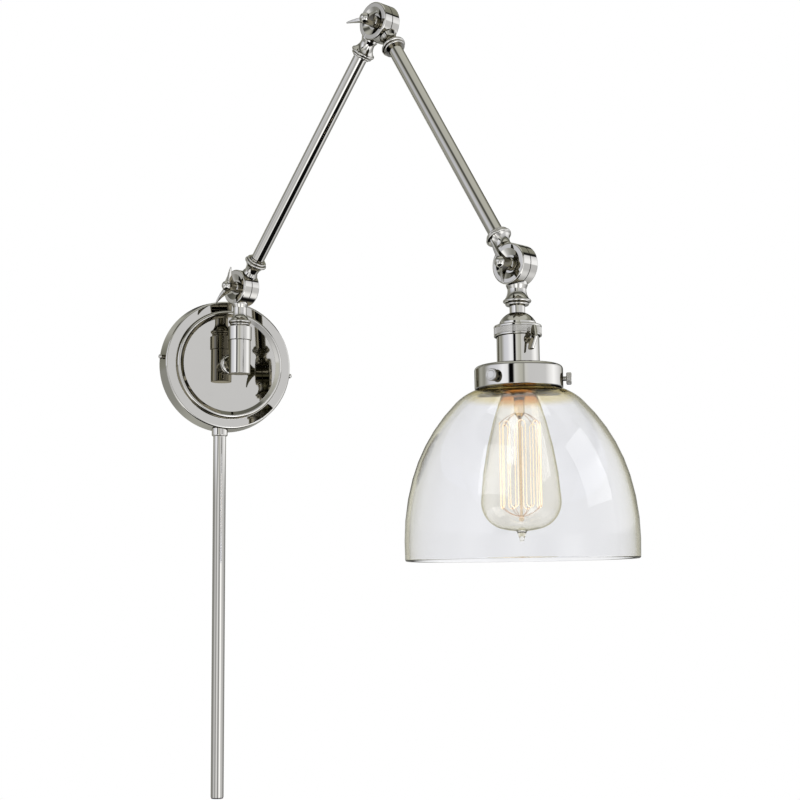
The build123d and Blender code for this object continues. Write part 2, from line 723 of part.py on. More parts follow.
def pivot_bolt(frame):
    """Domed slotted bolt through both halves, held by the rear one."""
    end = SEAT_Z + FACE_GAP + HUB_BORE_H - BOLT_END_GAP
    with BuildPart() as bolt:
        with BuildSketch(side_plane(frame)):
            with BuildLine():
                shank = Polyline(
                    (0, end),
                    (BOLT_R - EDGE_BREAK, end),
                    (BOLT_R, end - EDGE_BREAK),
                    (BOLT_R, -SEAT_Z),
                    (BOLT_HEAD_R, -SEAT_Z),
                    (BOLT_HEAD_R, -SEAT_Z - BOLT_HEAD_H / 3),
                )
                dome = TangentArc((0, -SEAT_Z - BOLT_HEAD_H), shank @ 1, tangent=(1, 0))
                Line(dome @ 0, shank @ 0)
            make_face()
        revolve(axis=spin_axis(frame))
        with BuildSketch(frame.offset(-SEAT_Z - BOLT_HEAD_H)):
            Rectangle(2 * BOLT_HEAD_R, BOLT_SLOT_W)
        extrude(amount=BOLT_SLOT_D, mode=Mode.SUBTRACT)
    return bolt.part


def wing(frame):
    """One wing on the frame's X side, pointed in outline and thinner towards its tip."""
    with BuildPart() as blade:
        with BuildSketch(side_plane(frame)) as outline:
            with BuildLine():
                tip = (WING_SPAN, WING_TIP_H)
                low = (HUB_WAIST_R / 2, HUB_FOOT_H)
                high = (HUB_WAIST_R / 2, HUB_SHOULDER_H)
                SagittaArc(low, tip, WING_BULGE)
                SagittaArc(tip, high, -WING_BULGE / 2)
                Line(high, low)
            make_face()
            fillet(outline.vertices().sort_by(Axis.Y)[-1], WING_TIP_R)
        extrude(amount=WING_ROOT_T, both=True)
        with BuildSketch(frame):
            Polygon(
                (0, WING_ROOT_T / 2),
                (0, -WING_ROOT_T / 2),
                (WING_SPAN, -WING_TIP_T / 2),
                (WING_SPAN, WING_TIP_T / 2),
                align=None,
            )
        extrude(amount=HUB_H, mode=Mode.INTERSECT)
    return blade.part


def wing_nut(frame, turn):
    """Domed nut with two splayed, pointed wings, turned about the pivot from the reach direction."""
    foot = SEAT_Z + FACE_GAP
    seat = turned(frame.offset(foot), turn)
    with BuildPart() as nut:
        add(wing(seat))
        add(wing(turned(seat, 180)))
        with BuildSketch(side_plane(seat)):
            with BuildLine():
                foot_line = Polyline(
                    (0, 0),
                    (HUB_R, 0),
                    (HUB_R, HUB_FOOT_H),
                    (HUB_WAIST_R, HUB_FOOT_H + HUB_R - HUB_WAIST_R),
                    (HUB_WAIST_R, HUB_SHOULDER_H),
                )
                dome = TangentArc((0, HUB_H), foot_line @ 1, tangent=(1, 0))
                Line(dome @ 0, foot_line @ 0)
            make_face()
        revolve(axis=spin_axis(seat))
        with BuildSketch(seat):
            Circle(BOLT_R + RUN_GAP)
        extrude(amount=HUB_BORE_H, mode=Mode.SUBTRACT)
    return nut.part


def arm_tube(start, direction):
    """Straight tube between the sockets of an arm's two knuckle halves."""
    frame = Plane(origin=start - PIVOT_AXIS * STEM_OFFSET, x_dir=PIVOT_AXIS, z_dir=direction)
    return sleeve(frame, TUBE_R, TUBE_R - TUBE_WALL, SOCKET_FROM, ARM_LENGTH - SOCKET_FROM)


# The three knuckles: the front half belongs to the piece nearer the wall, the rear to the next one
KNUCKLES = {
    "lower": (LOWER_PIVOT, UP * -1, POST_STEM, LOWER_DIRECTION, ARM_STEM, LOWER_WING_TURN),
    "elbow": (ELBOW_PIVOT, LOWER_DIRECTION * -1, ARM_STEM, UPPER_DIRECTION, ARM_STEM, ELBOW_WING_TURN),
    "head": (HEAD_PIVOT, UPPER_DIRECTION * -1, ARM_STEM, HEAD_DIRECTION, HEAD_STEM, HEAD_WING_TURN),
}
for name, (pivot, front_way, front_stem, back_way, back_stem, wing_turn) in KNUCKLES.items():
    level = knuckle_frame(pivot, REACH)
    save(knuckle_half(knuckle_frame(pivot, front_way), 1, front_stem), f"{name}_knuckle_front")
    save(knuckle_half(knuckle_frame(pivot, back_way), -1, back_stem), f"{name}_knuckle_back")
    save(pivot_bolt(level), f"{name}_knuckle_bolt")
    save(wing_nut(level, wing_turn), f"{name}_wing_nut")
    washer_half = KNUCKLE_SEAM / 2 - FACE_GAP
    save(
        sleeve(level, FRICTION_WASHER_OUTER_R, FRICTION_WASHER_INNER_R, -washer_half, washer_half),
        f"{name}_knuckle_washer",
    )
save(arm_tube(LOWER_PIVOT, LOWER_DIRECTION), "lower_arm_tube")
save(arm_tube(ELBOW_PIVOT, UPPER_DIRECTION), "upper_arm_tube")

# Threaded nipple from the head's stem into the socket cap
save(
    sleeve(HEAD, HEAD_NIPPLE_R, HEAD_NIPPLE_BORE_R, SOCKET_FROM, HEAD_NIPPLE_END),
    "head_nipple",
)

# Socket cap: dome, shoulder and band of one spun sheet
with BuildPart() as socket_cap:
    with BuildSketch(side_plane(HEAD)):
        with BuildLine():
            top = Line((HEAD_NIPPLE_R + SEAT_GAP, CAP_TOP), (HEAD_TAIL_R + CAP_WALL, CAP_TOP))
            dome = TangentArc(top @ 1, (CAP_DOME_R, CAP_DOME_END), tangent=(2, 1))
            FilletPolyline(
                dome @ 1,
                (CAP_DOME_R, CAP_BAND_TOP),
                (CAP_BAND_R, CAP_BAND_TOP),
                (CAP_BAND_R, CAP_BAND_END),
                radius=[CAP_SHOULDER_R, CAP_SHOULDER_R],
            )
            offset(amount=CAP_WALL, side=Side.LEFT)
        make_face()
    revolve(axis=spin_axis(HEAD))
save(socket_cap.part, "socket_cap")

# Socket shell, bored for the key's bushing, with the insulating liner inside it
key_frame = radial_frame(KEY_ANGLE, KEY_DROP)
with BuildPart() as socket_shell:
    with BuildSketch(HEAD.offset(SHELL_TOP)):
        Circle(SHELL_R)
        Circle(SHELL_R - SHELL_WALL, mode=Mode.SUBTRACT)
    extrude(amount=SHELL_END - SHELL_TOP)
    with BuildSketch(key_frame):
        Circle(KEY_BUSHING_R - SHELL_WALL + SEAT_GAP)
    extrude(amount=SHELL_R + SHELL_WALL, mode=Mode.SUBTRACT)
save(socket_shell.part, "socket_shell")

with BuildPart() as socket_liner:
    with BuildSketch(HEAD.offset(SHELL_TOP)):
        Circle(LINER_R)
        Circle(LINER_R - LINER_WALL, mode=Mode.SUBTRACT)
    extrude(amount=LINER_END - SHELL_TOP)
    with BuildSketch(key_frame):
        Circle(KEY_BUSHING_R)
    extrude(amount=SHELL_R, mode=Mode.SUBTRACT)
save(socket_liner.part, "socket_liner")

# Moulded core that carries the switch and the contacts
with BuildPart() as socket_core:
    with BuildSketch(HEAD.offset(CORE_TOP)):
        Circle(CORE_R)
    extrude(amount=CORE_END - CORE_TOP)
    with BuildSketch(key_frame):
        Circle(KEY_SHAFT_R + RUN_GAP)
    extrude(amount=SHELL_R, mode=Mode.SUBTRACT)
    chamfer(socket_core.edges().filter_by(GeomType.CIRCLE).sort_by(SortBy.RADIUS)[-2:], EDGE_BREAK)
save(socket_core.part, "socket_core")

save(
    sleeve(HEAD, SCREW_SHELL_R, SCREW_SHELL_R - SCREW_SHELL_WALL, CORE_END, SCREW_SHELL_END),
    "socket_screw_shell",
)
BULB_TIP_TOP = BULB_BASE_TOP - BULB_INSULATOR_H - BULB_TIP_H
with BuildPart() as socket_contact:
    with BuildSketch(HEAD.offset(CORE_END)):
        Circle(CONTACT_R)
    extrude(amount=BULB_TIP_TOP - FACE_GAP - CORE_END)
    chamfer(socket_contact.edges().sort_by(spin_axis(HEAD))[-1], EDGE_BREAK)
save(socket_contact.part, "socket_contact")

# Key: bushing screwed into the shell, and the shaft with its tapered paddle
with BuildPart() as switch_bushing:
    with BuildSketch(key_frame.offset(LINER_R + SEAT_GAP)):
        Circle(KEY_BUSHING_R - SHELL_WALL)
        Circle(KEY_SHAFT_R + RUN_GAP, mode=Mode.SUBTRACT)
    extrude(amount=SHELL_R - LINER_R)
    with BuildSketch(key_frame.offset(SHELL_R + SEAT_GAP)):
        Circle(KEY_BUSHING_R)
        Circle(KEY_SHAFT_R + RUN_GAP, mode=Mode.SUBTRACT)
    extrude(amount=KEY_BUSHING_END - SHELL_R - SEAT_GAP)
save(switch_bushing.part, "switch_bushing")

with BuildPart() as switch_key:
    with BuildSketch(key_frame.offset(KEY_SHAFT_DEPTH)):
        Circle(KEY_SHAFT_R)
    extrude(amount=KEY_NEAR + KEY_T - KEY_SHAFT_DEPTH)
    paddle = turned(key_frame, -KEY_TILT)
    with BuildSketch(side_plane(paddle)) as outline:
        with BuildLine():
            Polyline(
                (-KEY_HEIGHT / 2, KEY_NEAR),
                (-KEY_HEIGHT / 2, KEY_NEAR + KEY_TOP),
                (0, KEY_FAR),
                (KEY_HEIGHT / 2, KEY_NEAR + KEY_FOOT),
                (KEY_HEIGHT / 2, KEY_NEAR),
                close=True,
            )
        make_face()
        fillet(outline.vertices(), KEY_CORNER_R)
    extrude(amount=KEY_T / 2, both=True)
    fillet(switch_key.edges().filter_by(lambda edge: edge.length > KEY_FOOT), KEY_T / 4)
save(switch_key.part, "switch_key")

# Shade holder: a spun cup with three tapped bosses' worth of holes in its wall
thumb_frames = [radial_frame(THUMB_ANGLE + 360 / THUMB_COUNT * turn, THUMB_DROP) for turn in range(THUMB_COUNT)]
with BuildPart() as shade_holder:
    with BuildSketch(side_plane(HEAD)):
        with BuildLine():
            FilletPolyline(
                (SHELL_R + SEAT_GAP, HOLDER_TOP),
                (HOLDER_R, HOLDER_TOP),
                (HOLDER_R, HOLDER_END),
                radius=HOLDER_EDGE_R,
            )
            offset(amount=HOLDER_WALL, side=Side.LEFT)
        make_face()
    revolve(axis=spin_axis(HEAD))
    for frame in thumb_frames:
        with BuildSketch(frame):
            Circle(THUMB_R + RUN_GAP)
        extrude(amount=HOLDER_R + HOLDER_WALL, mode=Mode.SUBTRACT)
save(shade_holder.part, "shade_holder")

RING_TOP = HOLDER_TOP + HOLDER_WALL
save(sleeve(HEAD, HOLDER_RING_R, SHELL_R + SEAT_GAP, RING_TOP, RING_TOP + HOLDER_RING_H), "shade_holder_ring")

for number, frame in enumerate(thumb_frames, start=1):
    with BuildPart() as shade_screw:
        with BuildSketch(frame.offset(SHADE_NECK_R + THUMB_TIP_GAP)):
            Circle(THUMB_R)
        extrude(amount=HOLDER_R + THUMB_STANDOFF - SHADE_NECK_R - THUMB_TIP_GAP)
        with BuildSketch(frame.offset(HOLDER_R + THUMB_STANDOFF)):
            Circle(THUMB_HEAD_R)
        extrude(amount=THUMB_HEAD_T)
        rims = shade_screw.edges().filter_by(GeomType.CIRCLE).sort_by(SortBy.RADIUS)[-2:]
        fillet(rims, THUMB_EDGE)
    save(shade_screw.part, f"shade_screw_{number}")

# Glass shade: neck, shoulder and bell as one wall, with the rolled lip that the screws hold
with BuildPart() as glass_shade:
    with BuildSketch(side_plane(HEAD)) as wall_section:
        with BuildLine():
            Line(SHADE_MOUTH, SHADE_WIDEST)
            side = TangentArc(SHADE_WIDEST, SHADE_SIDE, tangent=(0, -1))
            crown = TangentArc(side @ 1, SHADE_CROWN, tangent=side % 1)
            shoulder = TangentArc(crown @ 1, SHADE_SHOULDER, tangent=crown % 1)
            inwards = shoulder % 1
            neck_drop = SHADE_SHOULDER[1] + inwards.Y / inwards.X * (SHADE_NECK_R - SHADE_SHOULDER[0])
            FilletPolyline(
                SHADE_SHOULDER,
                (SHADE_NECK_R, neck_drop),
                (SHADE_NECK_R, SHADE_LIP_TOP),
                radius=SHADE_NECK_COVE_R,
            )
            offset(amount=GLASS_T, side=Side.RIGHT)
        make_face()
        fillet(wall_section.vertices().sort_by(Axis.Y)[-2:], SHADE_RIM_ROUND)
    revolve(axis=spin_axis(HEAD))
    with BuildSketch(side_plane(HEAD)) as lip_section:
        lip_width = SHADE_LIP_R - SHADE_NECK_R + GLASS_T / 2
        with Locations((SHADE_LIP_R - lip_width / 2, SHADE_LIP_TOP + SHADE_LIP_T / 2)):
            Rectangle(lip_width, SHADE_LIP_T)
        fillet(lip_section.vertices().sort_by(Axis.X)[-2:], SHADE_LIP_ROUND)
    revolve(axis=spin_axis(HEAD))
save(glass_shade.part, "glass_shade")

# Bulb: brass screw base, black insulator and tip, thin glass envelope with its pip
with BuildPart() as bulb_base:
    with BuildSketch(HEAD.offset(BULB_BASE_TOP)):
        Circle(BULB_BASE_R)
    extrude(amount=BULB_BASE_END - BULB_BASE_TOP)
    fillet(bulb_base.edges().sort_by(spin_axis(HEAD))[0], BULB_BASE_R - BULB_INSULATOR_R)
    with BuildSketch(HEAD.offset(BULB_BASE_END)):
        Circle(BULB_BASE_R - BULB_BASE_WALL)
    extrude(amount=-BULB_NECK_GRIP - FACE_GAP, mode=Mode.SUBTRACT)
save(bulb_base.part, "bulb_base")

with BuildPart() as bulb_insulator:
    with BuildSketch(side_plane(HEAD)):
        with BuildLine():
            Polyline(
                (0, BULB_BASE_TOP),
                (BULB_INSULATOR_R, BULB_BASE_TOP),
                (BULB_INSULATOR_TOP_R, BULB_BASE_TOP - BULB_INSULATOR_H),
                (0, BULB_BASE_TOP - BULB_INSULATOR_H),
                close=True,
            )
        make_face()
    revolve(axis=spin_axis(HEAD))
save(bulb_insulator.part, "bulb_insulator")

with BuildPart() as bulb_tip:
    with BuildSketch(HEAD.offset(BULB_TIP_TOP)):
        Circle(BULB_TIP_R)
    extrude(amount=BULB_TIP_H)
    fillet(bulb_tip.edges().sort_by(spin_axis(HEAD))[0], BULB_TIP_H / 2)
save(bulb_tip.part, "bulb_tip")

BULB_NECK_R = BULB_BASE_R - BULB_BASE_WALL - SEAT_GAP
with BuildPart() as bulb_glass:
    with BuildSketch(side_plane(HEAD)):
        with BuildLine():
            foot = TangentArc((0, BULB_BOTTOM), BULB_FOOT, tangent=(1, 0))
            turn_in = TangentArc(foot @ 1, BULB_WIDEST, tangent=foot % 1)
            body = TangentArc(turn_in @ 1, BULB_SHOULDER, tangent=turn_in % 1)
            throat = TangentArc(body @ 1, (BULB_NECK_R, BULB_BASE_END), tangent=body % 1)
            neck = Line(throat @ 1, (BULB_NECK_R, BULB_BASE_END - BULB_NECK_GRIP))
            inner_foot = TangentArc(
                (0, BULB_BOTTOM - BULB_GLASS_T), (BULB_FOOT[0], BULB_FOOT[1] - BULB_GLASS_T), tangent=(1, 0)
            )
            inner_turn = TangentArc(
                inner_foot @ 1, (BULB_WIDEST[0] - BULB_GLASS_T, BULB_WIDEST[1]), tangent=inner_foot % 1
            )
            inner_body = TangentArc(
                inner_turn @ 1, (BULB_SHOULDER[0] - BULB_GLASS_T, BULB_SHOULDER[1]), tangent=inner_turn % 1
            )
            inner_throat = Line(inner_body @ 1, (BULB_NECK_R - BULB_GLASS_T, BULB_BASE_END))
            Polyline(
                inner_throat @ 1, (BULB_NECK_R - BULB_GLASS_T, BULB_BASE_END - BULB_NECK_GRIP), neck @ 1
            )
            Line(foot @ 0, inner_foot @ 0)
        make_face()
    revolve(axis=spin_axis(HEAD))
    with BuildSketch(side_plane(HEAD)):
        with BuildLine():
            root = Polyline((0, BULB_BOTTOM - BULB_GLASS_T / 2), (PIP_R, BULB_BOTTOM - BULB_GLASS_T / 2))
            cone = Line(root @ 1, (PIP_TIP_R, PIP_END - PIP_TIP_R))
            tip = TangentArc((0, PIP_END), cone @ 1, tangent=(1, 0))
            Line(tip @ 0, root @ 0)
        make_face()
    revolve(axis=spin_axis(HEAD))
save(bulb_glass.part, "bulb_glass")

# Glass mount in the bulb: flare in the neck, pinch, centre rod with a bead at its end
with BuildPart() as bulb_mount:
    flare_r = BULB_NECK_R - BULB_GLASS_T - FACE_GAP
    with BuildSketch(side_plane(HEAD)):
        with BuildLine():
            flare = Polyline(
                (0, BULB_BASE_END - BULB_NECK_GRIP),
                (flare_r, BULB_BASE_END - BULB_NECK_GRIP),
                (flare_r, BULB_BASE_END),
            )
            curve = TangentArc((MOUNT_R, MOUNT_FLARE_END), flare @ 1, tangent=(0, -1))
            pinch = Polyline(
                curve @ 0,
                (MOUNT_R, MOUNT_END - MOUNT_R),
                (MOUNT_ROD_R, MOUNT_END),
                (MOUNT_ROD_R, MOUNT_ROD_END - sqrt(MOUNT_BEAD_R**2 - MOUNT_ROD_R**2)),
            )
            bead = ThreePointArc(
                pinch @ 1,
                (MOUNT_BEAD_R, MOUNT_ROD_END),
                (0, MOUNT_ROD_END + MOUNT_BEAD_R),
            )
            Line(bead @ 1, flare @ 0)
        make_face()
    revolve(axis=spin_axis(HEAD))
save(bulb_mount.part, "bulb_mount")

# Filament: one wire zigzagging round the cage, straight strands joined by half circles
STRAND_GAP = 2 * CAGE_R * sin(radians(180 / CAGE_STRANDS))
BEND_R = STRAND_GAP / 2


def strand_point(index, drop):
    angle = radians(360 / CAGE_STRANDS * (index + 0.5))
    return Vector(CAGE_R * cos(angle), CAGE_R * sin(angle), drop)


def bend_point(index, drop):
    """Outermost point of the bend between a strand and the next one."""
    return (strand_point(index, drop) + strand_point(index + 1, drop)) * 0.5


with BuildPart() as bulb_filament:
    with BuildLine() as wire:
        for index in range(CAGE_STRANDS):
            start, end = (CAGE_TOP, CAGE_END) if index % 2 == 0 else (CAGE_END, CAGE_TOP)
            strand = Line(
                HEAD.from_local_coords(strand_point(index, start)),
                HEAD.from_local_coords(strand_point(index, end)),
            )
            if index < CAGE_STRANDS - 1:
                reach = BEND_R if index % 2 == 0 else -BEND_R
                ThreePointArc(
                    strand @ 1,
                    HEAD.from_local_coords(bend_point(index, end + reach)),
                    HEAD.from_local_coords(strand_point(index + 1, end)),
                )
    with BuildSketch(HEAD.offset(CAGE_TOP)):
        with Locations(strand_point(0, 0)):
            Circle(FILAMENT_R)
    sweep(path=wire.line)
save(bulb_filament.part, "bulb_filament")
print(f"filament: strands {STRAND_GAP - 2 * FILAMENT_R:.2f} mm apart, bends of {BEND_R:.2f} mm radius")

# Support wires from the mount to the filament's bends and ends
SUPPORT_CLEAR = FILAMENT_R + SUPPORT_R + SUPPORT_GAP
support_lines = []
for index in range(CAGE_STRANDS - 1):
    if index % 2 == 0:
        bend = bend_point(index, CAGE_END + BEND_R - SUPPORT_CLEAR)
        root_r = MOUNT_ROD_R + SUPPORT_GAP
        root_drop = MOUNT_ROD_END - MOUNT_BEAD_R
    else:
        bend = bend_point(index, CAGE_TOP - BEND_R + SUPPORT_CLEAR)
        root_r = MOUNT_R + SUPPORT_GAP
        root_drop = MOUNT_END - MOUNT_R - SUPPORT_R
    across = Vector(bend.X, bend.Y, 0).normalized()
    support_lines.append((across * root_r + Vector(0, 0, root_drop), bend))
for index in (0, CAGE_STRANDS - 1):
    end = strand_point(index, CAGE_TOP - SUPPORT_CLEAR)
    across = Vector(end.X, end.Y, 0).normalized()
    support_lines.append((across * (MOUNT_R + SUPPORT_GAP) + Vector(0, 0, MOUNT_FLARE_END + MOUNT_R), end))
with BuildPart() as bulb_supports:
    for start, end in support_lines:
        line = HEAD.from_local_coords(end) - HEAD.from_local_coords(start)
        with BuildSketch(Plane(origin=HEAD.from_local_coords(start), z_dir=line)):
            Circle(SUPPORT_R)
        extrude(amount=line.length)
save(bulb_supports.part, "bulb_supports")
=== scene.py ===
import json
from math import atan2, ceil, cos, pi, radians, sin, tan

import bmesh
import bpy
from mathutils import Matrix, Vector


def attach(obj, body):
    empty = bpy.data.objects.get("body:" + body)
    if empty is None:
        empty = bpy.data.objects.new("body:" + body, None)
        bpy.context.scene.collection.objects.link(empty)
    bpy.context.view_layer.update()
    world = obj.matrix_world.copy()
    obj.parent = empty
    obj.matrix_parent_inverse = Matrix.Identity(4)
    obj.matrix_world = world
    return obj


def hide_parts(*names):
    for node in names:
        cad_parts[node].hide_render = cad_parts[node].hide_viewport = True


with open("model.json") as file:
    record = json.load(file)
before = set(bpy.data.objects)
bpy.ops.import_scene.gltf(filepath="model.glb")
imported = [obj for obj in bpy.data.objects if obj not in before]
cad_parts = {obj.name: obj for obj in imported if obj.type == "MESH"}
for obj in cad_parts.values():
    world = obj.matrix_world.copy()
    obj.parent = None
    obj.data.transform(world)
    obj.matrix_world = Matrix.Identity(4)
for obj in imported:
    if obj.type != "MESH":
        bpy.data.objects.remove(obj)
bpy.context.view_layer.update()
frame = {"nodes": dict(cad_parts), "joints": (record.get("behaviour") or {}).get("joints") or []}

# The lamp's own sizes are in millimetres; the camera, the studio and the scene are in metres
MM = 0.001
UP = Vector((0, 0, 1))
WHITE = (1, 1, 1, 1)
FLOAT = "NodeSocketFloat"
WHOLE = "NodeSocketInt"
COLOUR = "NodeSocketColor"
scene = bpy.context.scene
joints = {joint["name"]: joint for joint in frame["joints"]}


# Camera, at the photograph's viewing angle

CAMERA_AT = (-0.38323, -1.41917, -0.19881)
CAMERA_PITCH = 93.35064
CAMERA_YAW = -22.04215
CAMERA_LENS = 65.64
CAMERA_SENSOR = 36
CAMERA_SHIFT = 0.10
CAMERA_NEAR = 0.01


def set_camera():
    lens = bpy.data.cameras.new("camera")
    lens.sensor_width = CAMERA_SENSOR
    lens.lens = CAMERA_LENS
    lens.shift_y = CAMERA_SHIFT
    lens.clip_start = CAMERA_NEAR
    camera = bpy.data.objects.new("camera", lens)
    camera.location = CAMERA_AT
    camera.rotation_euler = (radians(CAMERA_PITCH), 0, radians(CAMERA_YAW))
    scene.collection.objects.link(camera)
    scene.camera = camera


# Wiring of node trees

class Bench:
    """Adds nodes to one tree and wires them.

    A value for a socket is a number, a colour or another socket.
    """

    def __init__(self, tree):
        self.tree = tree

    def add(self, kind, settings=None, **sockets):
        node = self.tree.nodes.new(kind)
        for name, value in (settings or {}).items():
            setattr(node, name, value)
        for name, value in sockets.items():
            self.feed(node, name.replace("_", " "), value)
        return node

    def feed(self, node, key, value):
        """Gives a value to one input, which is named or numbered."""
        socket = node.inputs[key]
        if isinstance(value, bpy.types.NodeSocket):
            self.tree.links.new(value, socket)
        else:
            socket.default_value = value

    def math(self, operation, *values):
        node = self.add("ShaderNodeMath", {"operation": operation})
        for index, value in enumerate(values):
            self.feed(node, index, value)
        return node.outputs[0]

    def mix(self, factor, first, second, blend="MIX"):
        """A mix of two colours, which are the node's inputs 6 and 7 and its output 2."""
        node = self.add("ShaderNodeMix", {"data_type": "RGBA", "blend_type": blend})
        self.feed(node, 0, factor)
        self.feed(node, 6, first)
        self.feed(node, 7, second)
        return node.outputs[2]

    def pick(self, factor, first, second):
        """A mix of two shaders."""
        node = self.add("ShaderNodeMixShader", Fac=factor)
        self.feed(node, 1, first)
        self.feed(node, 2, second)
        return node.outputs[0]

    def span(self, value, start, end, blend="LINEAR"):
        """0 to 1 as the value goes from start to end."""
        node = self.add("ShaderNodeMapRange", {"interpolation_type": blend}, Value=value)
        self.feed(node, "From Min", start)
        self.feed(node, "From Max", end)
        return node.outputs[0]

    def ramp(self, factor, stops):
        node = self.add("ShaderNodeValToRGB", Fac=factor)
        elements = node.color_ramp.elements
        while len(elements) < len(stops):
            elements.new(0.5)
        for element, (place, colour) in zip(elements, stops):
            element.position = place
            element.color = (*colour, 1)
        return node.outputs[0]

    def place(self):
        """Object coordinates."""
        return self.add("ShaderNodeTexCoord").outputs["Object"]

    def noise(self, place, scale, **sockets):
        return self.add("ShaderNodeTexNoise", Vector=place, Scale=scale, **sockets).outputs[0]

    def bump(self, surface, height, strength, distance):
        node = self.add("ShaderNodeBump", Height=height, Strength=strength, Distance=distance)
        self.feed(surface, "Normal", node.outputs[0])


def blank(owner):
    """A bench on the emptied node tree of a material or a world."""
    owner.use_nodes = True
    owner.node_tree.nodes.clear()
    return Bench(owner.node_tree)


# Studio round the lamp

# What the red, green and blue of a grey lose when it leans to olive or to lilac
OLIVE_LOSS = (0.0, 0.01, 0.34)
LILAC_LOSS = (0.06, 0.03, -0.12)


def grey(level, lean=0.0):
    """A grey that leans to olive for a positive lean and to lilac for a negative one."""
    losses = OLIVE_LOSS if lean > 0 else LILAC_LOSS
    return tuple(level * (1 - abs(lean) * loss) for loss in losses)


# What the polished metal sees around it. Each row is a bearing, a level and its lean.
# Bearing 0 is towards the camera, and bearings grow to the camera's right.
STUDIO_SIDES = (
    (-180, 0.35, 0.5),
    (-168, 0.02, 0),
    (-158, 0.5, 0.4),
    (-146, 0.58, 0.3),
    (-134, 0.22, 0.6),
    (-120, 0.52, 0.3),
    (-105, 0.34, 0.4),
    (-94, 0.6, 0),
    (-84, 0.85, -0.5),
    (-62, 0.98, -0.5),
    (-46, 1.28, -0.3),
    (-33, 1.15, -0.2),
    (-29, 0.003, 0),
    (-19, 0.003, 0),
    (-15, 0.9, 0.1),
    (-2, 0.68, 0.3),
    (5, 0.62, 0.3),
    (8, 0.42, 0.3),
    (13, 0.85, 0.1),
    (22, 0.8, -0.1),
    (68, 0.82, -0.1),
    (82, 1.15, -0.1),
    (98, 1.4, -0.1),
    (112, 1.15, -0.1),
    (128, 0.85, 0),
    (140, 0.6, 0.2),
    (148, 0.12, 0.5),
    (160, 0.02, 0),
    (168, 0.5, 0.4),
)
STUDIO_SKIRT = (
    (-180, 0.3, 0.3),
    (-150, 0.35, 0.3),
    (-100, 0.3, 0.2),
    (-78, 0.42, 0),
    (-60, 0.85, 0),
    (-34, 0.33, 0),
    (-10, 1.2, 0),
    (2, 0.6, 0),
    (14, 0.28, 0),
    (24, 0.5, 0),
    (38, 1.5, 0),
    (50, 1.55, 0),
    (61, 0.85, 0),
    (100, 0.68, 0),
    (120, 0.38, 0),
    (150, 0.24, 0.2),
)
STUDIO_CEILING = (
    (-180, 0.45, 0.3),
    (-60, 0.6, 0.3),
    (0, 0.63, 0.32),
    (110, 0.65, 0.32),
    (150, 0.5, 0.3),
)
# The upper edge of the panels, and the gap between it and the ceiling
STUDIO_EDGE = (
    (-180, 0.1, 0.5),
    (-120, 0.3, 0.4),
    (-60, 0.5, 0.3),
    (40, 0.3, 0.3),
    (70, 0.01, 0),
    (160, 0.01, 0),
)
STUDIO_GAP = (
    (-180, 0.26, 0.5),
    (-70, 0.12, 0.4),
    (-25, 0.1, 0.4),
    (30, 0.16, 0.5),
    (80, 0.27, 0.6),
    (150, 0.32, 0.6),
)
NADIR_TONE = (*grey(0.006), 1)
# Heights between which one ring takes over from the next, as the upward part of a unit direction
PANEL_FOOT = (0.04, 0.09)
EDGE_START = (0.5, 0.55)
GAP_START = (0.6, 0.65)
CEILING_START = (0.76, 0.86)
NADIR_START = (-0.71, -0.79)
# The heights over which a ring's tones change, and by what share
SIDES_DIM = (0.2, 0.5, -0.25)
SKIRT_GAIN = (-0.3, -0.65, 0.8)
# What matt faces see of the studio
ROOM_TONE = (0.55, 0.55, 0.56, 1)
# Polished faces that see each other darken and brown what they pass on
SECOND_LOOK = (0.44, 0.41, 0.32, 1)
SECOND_CONTRAST = 3.2
# Tone of the backdrop where glass bends it along an edge, and how much of the studio shows there
GLASS_EDGE_LIGHT = (0.98, 0.94, 0.72, 1)
GLASS_EDGE_STUDIO = 0.4
# Limits that tell one bounce, or two, from fewer
ONE_BOUNCE = 0.5
TWO_BOUNCES = 1.5


